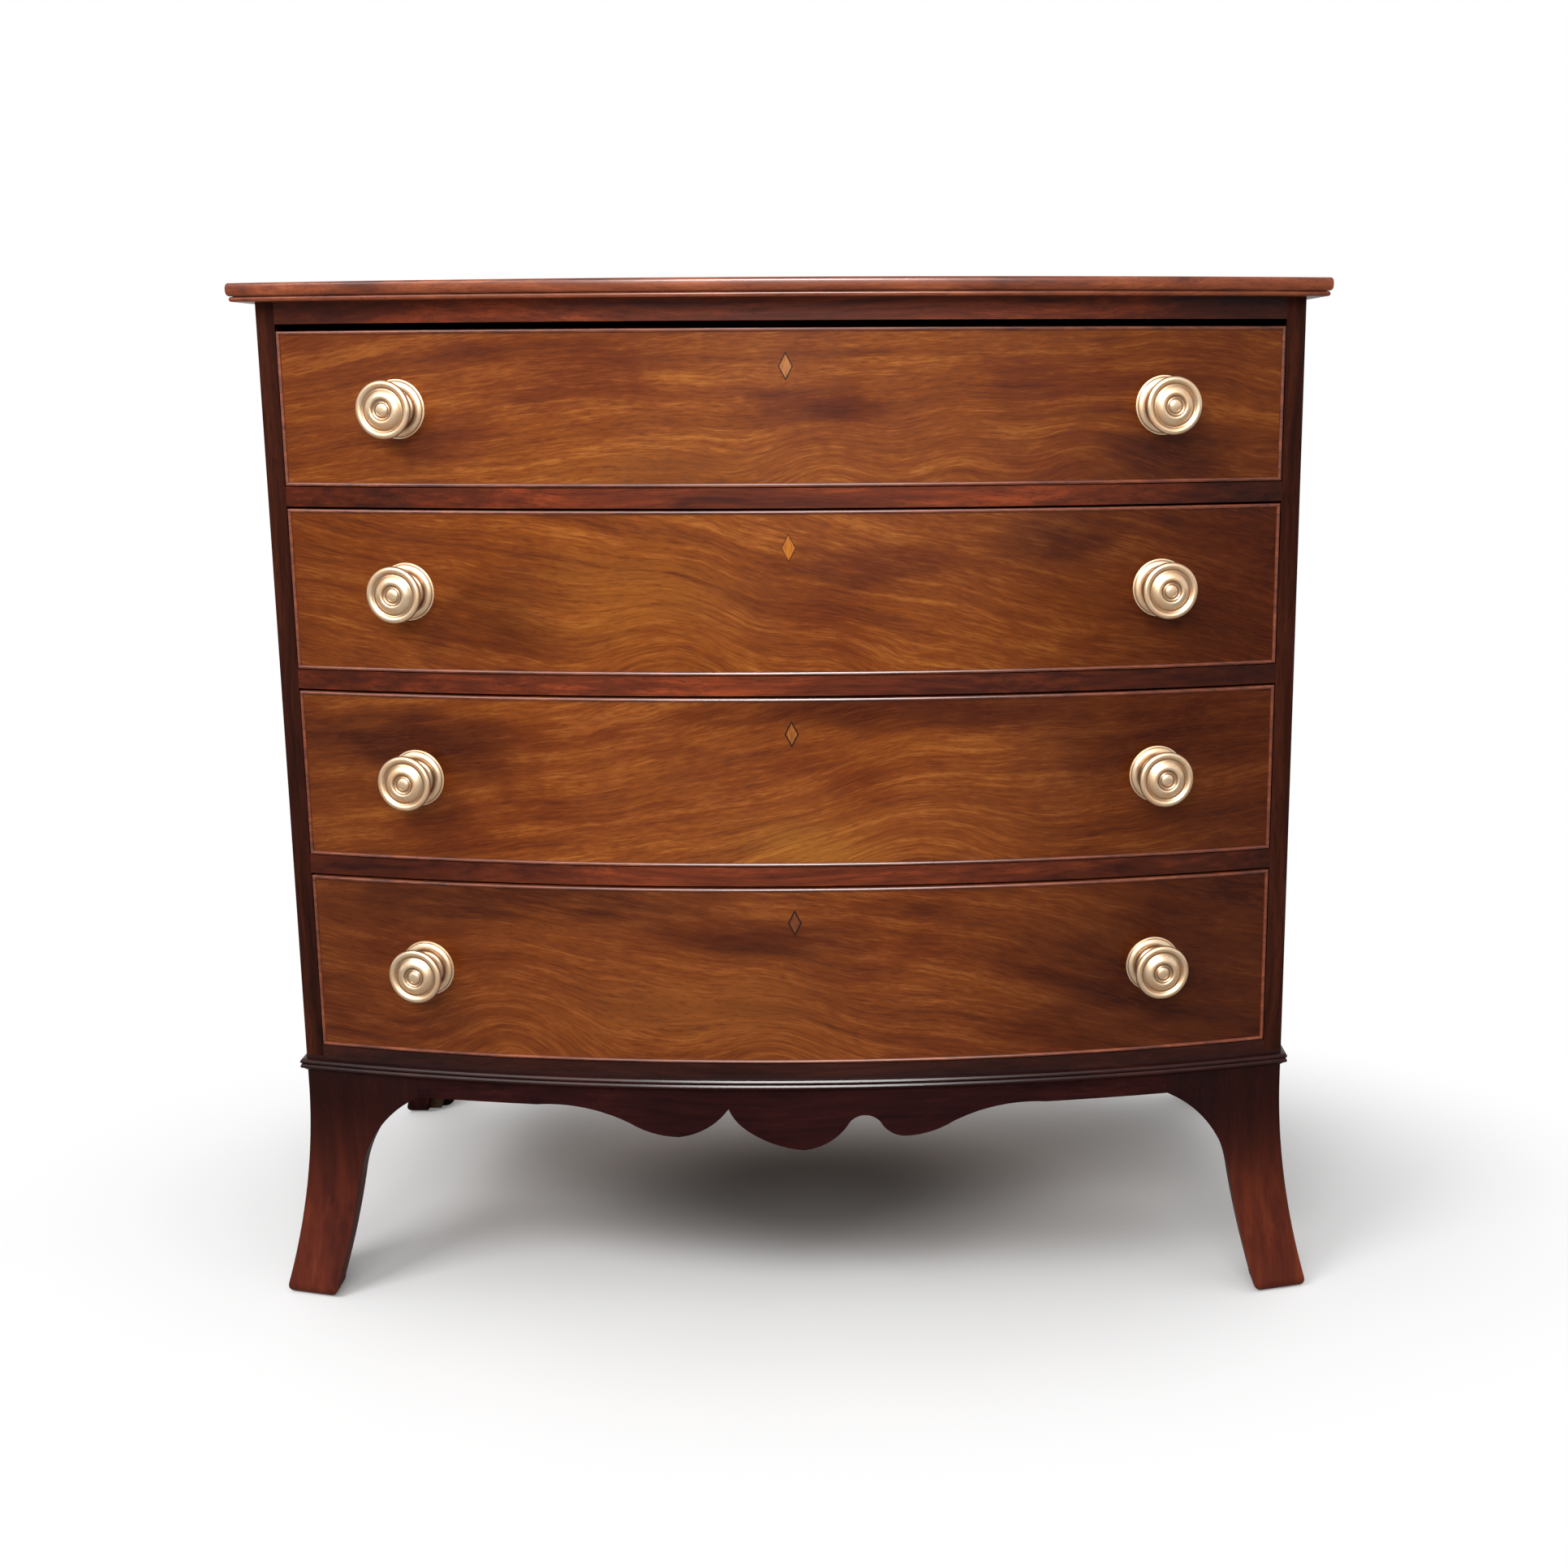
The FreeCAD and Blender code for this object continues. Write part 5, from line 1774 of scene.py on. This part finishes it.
@dataclass
class BackNails:
    """Two cut nails through each back board into every rail behind the drawers."""

    shop: Workshop
    board_count: int = 4
    head: float = 3.2 * MM
    inset: float = 30.0 * MM
    drop: float = 12.0 * MM
    sunk: float = 0.1 * MM
    seed: int = 5

    def build(self) -> None:
        """Make the nails and dress them."""
        low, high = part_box("back_boards")
        width = (high.x - low.x) / self.board_count
        lines = (low.z + self.drop, high.z - self.drop, (low.z + high.z) / 2)
        points = []
        for board in range(self.board_count):
            left = low.x + board * width
            for z in lines:
                for x in (left + self.inset, left + width - self.inset):
                    points.append(Vector((x, high.y + self.sunk, z)))
        nails = NailDriver().drive("back_nails", points, self.head, self.seed,
                                   CutIron().material())
        self.shop.settle(nails, "carcase", "pine")


@dataclass
class KnobTurner:
    """Turns a section into a pair of knobs, each square to the bow."""

    tree: Tree = field(init=False)

    def __post_init__(self) -> None:
        """Build the node tree."""
        tree, given = open_tree("turned_knobs", (("Geometry", "NodeSocketGeometry"),
                                                 ("Section", "NodeSocketObject"),
                                                 ("Facets", "NodeSocketInt"),
                                                 ("Offset", "NodeSocketFloat"),
                                                 ("Height", "NodeSocketFloat"),
                                                 ("Bow Radius", "NodeSocketFloat"),
                                                 ("Bow Centre", "NodeSocketFloat"),
                                                 ("Finish", "NodeSocketMaterial")))

        section = add(tree, "GeometryNodeObjectInfo",
                      {"Object": given.outputs["Section"]}).outputs["Geometry"]
        count = add(tree, "GeometryNodeAttributeDomainSize",
                    {"Geometry": section}).outputs["Point Count"]
        facets = given.outputs["Facets"]
        grid = add(tree, "GeometryNodeMeshGrid",
                   {"Vertices X": work_out(tree, ("ADD", facets, 1.0)),
                    "Vertices Y": count})
        row, column = rows_and_columns(tree, count)
        turn = work_out(tree, ("MULTIPLY", ("DIVIDE", row, facets), 2 * math.pi))
        position = add(tree, "GeometryNodeInputPosition").outputs[0]
        there = add(tree, "GeometryNodeSampleIndex",
                    {"Geometry": section, "Value": position, "Index": column},
                    data_type="FLOAT_VECTOR").outputs[0]
        split = add(tree, "ShaderNodeSeparateXYZ", {0: there})
        radius = split.outputs[0]
        place = add(tree, "ShaderNodeCombineXYZ",
                    {0: work_out(tree, ("MULTIPLY", radius, ("COSINE", turn))),
                     1: work_out(tree, ("MULTIPLY", radius, ("SINE", turn))),
                     2: split.outputs[1]})
        turned = add(tree, "GeometryNodeSetPosition",
                     {"Geometry": grid.outputs["Mesh"], "Position": place.outputs[0]})
        geometry = turned.outputs[0]
        for label in ("run", "sunk"):
            stored = add(tree, "GeometryNodeInputNamedAttribute", {"Name": label},
                         data_type="FLOAT").outputs["Attribute"]
            value = add(tree, "GeometryNodeSampleIndex",
                        {"Geometry": section, "Value": stored, "Index": column},
                        data_type="FLOAT").outputs[0]
            geometry = add(tree, "GeometryNodeStoreNamedAttribute",
                           {"Geometry": geometry, "Name": label, "Value": value},
                           data_type="FLOAT").outputs[0]
        knob = add(tree, "GeometryNodeMergeByDistance",
                   {"Geometry": geometry, "Distance": WELD}).outputs[0]

        left = add(tree, "ShaderNodeCombineXYZ",
                   {0: work_out(tree, ("MULTIPLY", given.outputs["Offset"], -1.0))})
        right = add(tree, "ShaderNodeCombineXYZ", {0: given.outputs["Offset"]})
        pair = add(tree, "GeometryNodeMeshLine",
                   {"Count": 2, "Start Location": left.outputs[0], "Offset": right.outputs[0]},
                   mode="END_POINTS")
        across = add(tree, "ShaderNodeSeparateXYZ", {0: position}).outputs[0]
        bow_radius = given.outputs["Bow Radius"]
        sweep = work_out(tree, ("ARCSINE", ("DIVIDE", across, bow_radius)))
        deep = work_out(tree, ("SUBTRACT", given.outputs["Bow Centre"],
                               ("MULTIPLY", bow_radius, ("COSINE", sweep))))
        seat = add(tree, "ShaderNodeCombineXYZ",
                   {0: across, 1: deep, 2: given.outputs["Height"]})
        seats = add(tree, "GeometryNodeSetPosition",
                    {"Geometry": pair.outputs["Mesh"], "Position": seat.outputs[0]})
        facing = add(tree, "ShaderNodeCombineXYZ", {0: math.pi / 2, 2: sweep})
        knobs = add(tree, "GeometryNodeInstanceOnPoints",
                    {"Points": seats.outputs[0], "Instance": knob,
                     "Rotation": facing.outputs[0]})
        close_tree(tree, knobs.outputs[0], given.outputs["Finish"])
        self.tree = tree


@dataclass(frozen=True)
class KnobSection:
    """Half section of a turned knob, in mm: radius, height off the drawer, and how sunk."""

    points: tuple[Triple, ...] = (
        (0.0, 0.0, 0.0), (23.3, 0.0, 0.2), (23.8, 0.5, 0.0), (23.9, 1.4, 0.0),
        (23.5, 2.4, 0.0), (22.6, 3.2, 0.0), (21.0, 3.9, 0.0), (18.9, 4.3, 0.1),
        (18.2, 4.1, 0.6), (17.7, 3.5, 0.9), (17.0, 3.2, 0.9), (15.6, 3.4, 0.7),
        (14.4, 4.3, 0.5), (13.4, 6.0, 0.3), (12.7, 9.0, 0.2), (12.5, 12.5, 0.2),
        (12.9, 16.0, 0.2), (14.2, 19.2, 0.3), (16.6, 21.6, 0.3), (19.6, 22.7, 0.1),
        (22.4, 23.4, 0.0), (23.8, 24.5, 0.0), (24.35, 25.8, 0.0), (24.3, 27.0, 0.0),
        (23.8, 28.1, 0.0), (22.8, 28.9, 0.0), (21.5, 29.2, 0.0), (20.2, 28.9, 0.0),
        (19.1, 28.1, 0.3), (18.3, 27.3, 0.7), (17.4, 27.1, 0.8), (16.5, 27.6, 0.5),
        (15.4, 28.6, 0.1), (14.0, 29.7, 0.0), (12.5, 30.5, 0.0), (11.2, 30.9, 0.0),
        (10.2, 30.9, 0.0), (9.4, 30.6, 0.1), (8.9, 29.8, 0.5), (8.3, 28.9, 0.8),
        (7.2, 28.4, 0.8), (6.3, 28.5, 0.7), (5.7, 29.1, 0.4), (5.2, 29.8, 0.1),
        (4.3, 30.4, 0.0), (3.0, 30.8, 0.0), (1.5, 31.0, 0.0), (0.0, 31.0, 0.0))

    def holder(self) -> Piece:
        """Draw the section, smoothed to finer runs, with its two attributes.

        Returns:
            The section as an object for the turner to read.
        """
        fine = refine([(radius * MM, height * MM, sunk) for radius, height, sunk in self.points])
        mesh = bpy.data.meshes.new("knob_section")
        mesh.from_pydata([(radius, height, 0.0) for radius, height, _ in fine], [], [])
        run = mesh.attributes.new("run", "FLOAT", "POINT")
        sunk = mesh.attributes.new("sunk", "FLOAT", "POINT")
        far = 0.0
        for number, point in enumerate(fine):
            if number:
                far += math.dist(point[:2], fine[number - 1][:2])
            run.data[number].value = far
            sunk.data[number].value = point[2]
        return plain_object("knob_section", mesh)


def refine(points: Sequence[tuple[float, ...]], cuts: int = 2) -> list[tuple[float, ...]]:
    """Run a smooth curve through points.

    Args:
        points: The points.
        cuts: How many runs each gap is cut into.

    Returns:
        The finer points, the first and last kept.
    """
    fine = []
    last = len(points) - 1
    for number in range(last):
        before, start = points[max(number - 1, 0)], points[number]
        end, after = points[number + 1], points[min(number + 2, last)]
        for cut in range(cuts):
            t = cut / cuts
            fine.append(tuple(
                0.5 * (2 * b + (c - a) * t + (2 * a - 5 * b + 4 * c - d) * t ** 2
                       + (3 * b - a - 3 * c + d) * t ** 3)
                for a, b, c, d in zip(before, start, end, after)))
    fine.append(tuple(points[last]))
    return [(max(point[0], 0.0), *point[1:]) for point in fine]


@dataclass
class Drawer:
    """One drawer: bowed front in figured veneer, cock beads, knobs, inlay and oak lining."""

    shop: Workshop
    number: int
    veneer: FiguredVeneer
    inlay: Inlay
    turner: KnobTurner
    knob_section: Piece
    brass: Material
    half_width: float = 432.0 * MM
    thickness: float = 22.0 * MM
    bead: float = 3.2 * MM
    bead_proud: float = 1.5 * MM
    bead_depth: float = 6.5 * MM
    bead_arcs: tuple[tuple[int, int, int], ...] = ((180, 135, 4), (95, 85, 1), (45, 0, 4))
    bead_sharp: float = 17.0
    knob_offset: float = 326.0 * MM
    knob_facets: int = 72

    @property
    def body(self) -> str:
        """The frame body of this drawer."""
        return f"drawer_{self.number}"

    def name(self, part: str) -> str:
        """The name of one of the drawer's nodes."""
        return f"{self.body}_{part}"

    def build(self) -> None:
        """Make the drawer's pieces and dress the rest."""
        low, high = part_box(self.name("front"))
        bottom, top = (corner.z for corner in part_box(self.name("cock_beads")))
        self.front((low + high) / 2)
        self.beads(bottom, top)
        self.knobs((bottom + top) / 2)
        low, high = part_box(self.name("lozenge"))
        self.shop.dress(self.name("lozenge"), self.inlay.material((low + high) / 2))
        for part, along in (("side_left", Axis.Y), ("side_right", Axis.Y), ("back", Axis.X),
                            ("bottom", Axis.X)):
            self.shop.dress(self.name(part), self.shop.timber(OAK, along))

    def front(self, middle: Vector) -> None:
        """Copy the front, with veneer on its face and oak elsewhere.

        Args:
            middle: The middle of the front.
        """
        piece = show_copy(f"{self.body}_veneered_front", self.shop.node(self.name("front")))
        mesh = piece.data
        mesh.materials.append(self.veneer.material(middle))
        mesh.materials.append(self.shop.timber(OAK, Axis.X))
        hub = Vector((0.0, BOW.centre_y, 0.0))
        for polygon in mesh.polygons:
            away = [(mesh.vertices[v].co - hub) for v in polygon.vertices]
            on_face = all(abs(math.hypot(a.x, a.y) - BOW.radius) < FACE_SLACK for a in away)
            polygon.material_index = 0 if on_face else 1
        follow_bow(mesh)
        self.shop.settle(piece, self.body, "mahogany_veneer", self.name("front"))

    def bead_path(self, low: float, high: float) -> list[Station]:
        """Lay the path round the drawer's face, mitred at the four corners.

        Args:
            low: Height of the lowest bead's underside.
            high: Height of the top bead's upper side.

        Returns:
            The stations, back to the first one.
        """
        angles = BOW.angles(self.half_width)
        end = angles[-1]
        stations = []
        for z, up, order in ((low, 1.0, angles), (high, -1.0, angles[::-1])):
            for angle in order:
                across = UP * up
                if abs(abs(angle) - end) < SAME_ANGLE:
                    across = across - BOW.along(angle) * math.copysign(1.0, angle)
                stations.append(Station(BOW.at(angle, 0.0, z), across, BOW.outward(angle)))
        return stations + stations[:1]

    def beads(self, low: float, high: float) -> None:
        """Rounded beads let into the edges of the front, and what lies behind them.

        Args:
            low: Height of the lowest bead's underside.
            high: Height of the top bead's upper side.
        """
        radius = self.bead / 2
        nose = [point for start, end, steps in self.bead_arcs
                for point in arc_points((radius, self.bead_proud - radius), radius, start, end,
                                        steps)]
        section = [(0.0, -self.bead_depth), *nose, (self.bead, -self.bead_depth),
                   (0.0, -self.bead_depth)]
        finish = self.shop.timber(BEAD_MAHOGANY, Axis.X)
        pieces = [self.shop.sweeper.sweep(self.name("bead_round"), self.bead_path(low, high),
                                          section, finish, self.bead_sharp)]
        behind = [(0.0, -self.bead_depth), (self.bead, -self.bead_depth),
                  (self.bead, -self.thickness), (0.0, -self.thickness),
                  (0.0, -self.bead_depth)]
        for z, up in ((low, 1.0), (high, -1.0)):
            path = [Station(BOW.at(angle, 0.0, z), UP * up, BOW.outward(angle))
                    for angle in BOW.angles(self.half_width, -self.thickness)]
            pieces.append(self.shop.sweeper.sweep(self.name("bead_behind"), path, behind,
                                                  finish))
        piece = joined(f"{self.body}_rounded_cock_beads", pieces, finish)
        smooth(piece.data, self.bead_sharp)
        self.shop.settle(piece, self.body, "cock_bead_mahogany", self.name("cock_beads"))

    def knobs(self, middle: Vector) -> None:
        """Turn the two knobs.

        Args:
            middle: Their height.
        """
        host = bpy.data.meshes.new("knob_host")
        piece = grow(f"{self.body}_turned_knobs", self.turner.tree, host,
                     {"Section": self.knob_section, "Facets": self.knob_facets,
                      "Offset": self.knob_offset, "Height": middle,
                      "Bow Radius": BOW.radius, "Bow Centre": BOW.centre_y,
                      "Finish": self.brass})
        tidy_mesh(piece.data, sharp=50.0)
        self.shop.settle(piece, self.body, "brass", self.name("knobs"))


# ---- Studio ----------------------------------------------------------------------------

@dataclass(frozen=True)
class Lamp:
    """A soft rectangular lamp: sizes in metres, power in watts.

    One that is only_gloss lights nothing, and shows only as a shine on polish and metal.
    """

    name: str
    place: Triple
    target: Triple
    size: Pair
    power: float
    only_gloss: bool = False

    def hang(self) -> None:
        """Hang the lamp and aim it."""
        light = bpy.data.lights.new(self.name, "AREA")
        light.shape = "RECTANGLE"
        light.size, light.size_y = self.size
        light.energy = self.power
        holder = bpy.data.objects.new(self.name, light)
        holder.location = self.place
        holder.visible_diffuse = not self.only_gloss
        aim = Vector(self.target) - Vector(self.place)
        holder.rotation_euler = aim.to_track_quat("-Z", "Y").to_euler()
        bpy.context.scene.collection.objects.link(holder)


LAMPS = (
    Lamp("key", (-2.0, -2.0, 2.9), (0.0, -0.1, 0.5), (1.5, 1.1), 50.0),
    Lamp("front", (-0.1, -3.3, 2.1), (0.0, -0.2, 0.6), (2.2, 1.0), 52.0),
    Lamp("strip", (-0.12, -2.4, 2.3), (0.0, -0.2, 0.5), (1.1, 0.1), 140.0, only_gloss=True),
)
WHITE = (1.0, 1.0, 1.0, 1.0)


@dataclass
class Studio:
    """Floor, soft lamps, white surroundings and the camera.

    The floor carries a painted shadow, drawn darker in an oval under the chest, and turns white
    where the oval's measure reaches the second of its limits. The sky is dim at the horizon and
    bright overhead.
    """

    camera_place: Triple = (0.10259, -1.92090, 0.84551)
    pitch: float = 0.19978
    yaw: float = 0.00112
    roll: float = -0.00538
    focal_pixels: float = 2411.7
    middle_pixel: Pair = (1115.7, 942.2)
    sensor_mm: float = 36.0
    floor_half: float = 9.0
    floor_oval: Triple = (0.65, 0.42, 1.0)
    floor_patch: float = 0.4
    floor_in: Pair = (0.3, 0.7)
    floor_colours: tuple[str, str] = ("#f8f8f8", "#fbfbfb")
    painted_shadow_colour: str = "#9c9c9c"
    under: Pair = (0.12, 0.5)
    unseen_floor: str = "#b4b2b0"
    white: Pair = (0.7, 1.45)
    sky: Pair = (0.03, 0.95)
    sky_heights: Pair = (0.15, 0.9)

    def floor(self) -> None:
        """Pale floor, which shows as white wherever no shadow falls on it, with a painted shadow
        under the chest.
        """
        work = bmesh.new()
        bmesh.ops.create_grid(work, x_segments=8, y_segments=8, size=self.floor_half)
        mesh = bpy.data.meshes.new("floor")
        work.to_mesh(mesh)
        work.free()
        floor = plain_object("floor", mesh)
        material, tree = new_material("pale_floor")
        place = add(tree, "ShaderNodeTexCoord").outputs["Object"]
        mottle = stretched_noise(tree, place, (self.floor_patch,) * 3)
        colour = blend(tree, share(tree, mottle, *self.floor_in), *self.floor_colours)
        oval = add(tree, "ShaderNodeVectorMath", {0: place, 1: self.floor_oval},
                   operation="DIVIDE")
        away = add(tree, "ShaderNodeVectorMath", {0: oval.outputs[0]}, operation="LENGTH")
        # Painted shadow: the floor's own colour is darker in an oval under the chest.
        near = share(tree, away.outputs["Value"], *self.under, 1.0, 0.0)
        colour = blend(tree, near, colour, self.painted_shadow_colour, Way.MULTIPLY)
        matt = add(tree, "ShaderNodeBsdfDiffuse", {"Color": colour})
        far = share(tree, away.outputs["Value"], *self.white)
        glow = add(tree, "ShaderNodeEmission", {"Color": WHITE, "Strength": 1.0})
        plain = add(tree, "ShaderNodeBsdfDiffuse", {"Color": linear(self.unseen_floor)})
        seen = add(tree, "ShaderNodeLightPath").outputs["Is Camera Ray"]
        both = add(tree, "ShaderNodeMixShader",
                   {0: far, 1: matt.outputs[0], 2: glow.outputs[0]})
        shader = add(tree, "ShaderNodeMixShader",
                     {0: seen, 1: plain.outputs[0], 2: both.outputs[0]})
        close_material(tree, shader)
        mesh.materials.append(material)

    def surroundings(self) -> None:
        """White to the camera and in reflections, and plain soft light on the object."""
        world = bpy.data.worlds.new("studio")
        bpy.context.scene.world = world
        world.use_nodes = True
        tree = world.node_tree
        tree.nodes.clear()
        rays = add(tree, "ShaderNodeLightPath")
        seen = sums(tree, ((rays.outputs["Is Camera Ray"], 1.0),
                           (rays.outputs["Is Glossy Ray"], 1.0),
                           (rays.outputs["Is Transmission Ray"], 1.0)))
        way = add(tree, "ShaderNodeTexCoord").outputs["Generated"]
        height = add(tree, "ShaderNodeSeparateXYZ", {0: way}).outputs[2]
        soft = share(tree, height, *self.sky_heights, *self.sky)
        strength = add(tree, "ShaderNodeMix", {MIX_FACTOR: seen, MIX_LOW: soft, MIX_HIGH: 1.0},
                       data_type="FLOAT")
        light = add(tree, "ShaderNodeBackground",
                    {"Color": WHITE, "Strength": strength.outputs[0]})
        add(tree, "ShaderNodeOutputWorld", {"Surface": light.outputs[0]})

    def camera(self) -> None:
        """Stand the camera in front, a little to the right and looking down."""
        pitch, yaw, roll = self.pitch, self.yaw, self.roll
        forward = Vector((math.sin(yaw) * math.cos(pitch), math.cos(yaw) * math.cos(pitch),
                          -math.sin(pitch)))
        level = Vector((math.cos(yaw), -math.sin(yaw), 0.0))
        upright = level.cross(forward)
        right = math.cos(roll) * level + math.sin(roll) * upright
        up = -math.sin(roll) * level + math.cos(roll) * upright
        data = bpy.data.cameras.new("camera")
        data.sensor_width = self.sensor_mm
        data.lens = self.focal_pixels / PICTURE_SIZE * data.sensor_width
        data.shift_x = 0.5 - self.middle_pixel[0] / PICTURE_SIZE
        data.shift_y = self.middle_pixel[1] / PICTURE_SIZE - 0.5
        holder = bpy.data.objects.new("camera", data)
        turn = Matrix((right, up, -forward)).transposed().to_4x4()
        holder.matrix_world = Matrix.Translation(self.camera_place) @ turn
        bpy.context.scene.collection.objects.link(holder)
        bpy.context.scene.camera = holder

    def build(self) -> None:
        """Set the whole studio up."""
        bpy.context.scene.view_settings.view_transform = "Standard"
        self.floor()
        self.surroundings()
        for lamp in LAMPS:
            lamp.hang()
        self.camera()


# ---- The whole chest ---------------------------------------------------------------------

def main() -> None:
    """Build every sub-assembly in order, then the studio."""
    logging.basicConfig(level=logging.INFO, format="%(name)s: %(message)s")
    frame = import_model()
    shop = Workshop(frame)
    Top(shop).build()
    Case(shop).build()
    BaseMoulding(shop).build()
    Base(shop).build()
    BackBoards(shop).build()
    BackNails(shop).build()
    turner, brass = KnobTurner(), TurnedBrass().material()
    section = KnobSection().holder()
    for number, (veneer, inlay) in enumerate(zip(VENEERS, INLAYS), start=1):
        Drawer(shop, number, veneer, inlay, turner, section, brass).build()
    bpy.data.objects.remove(section)
    Studio().build()


if __name__ == "__main__":
    main()
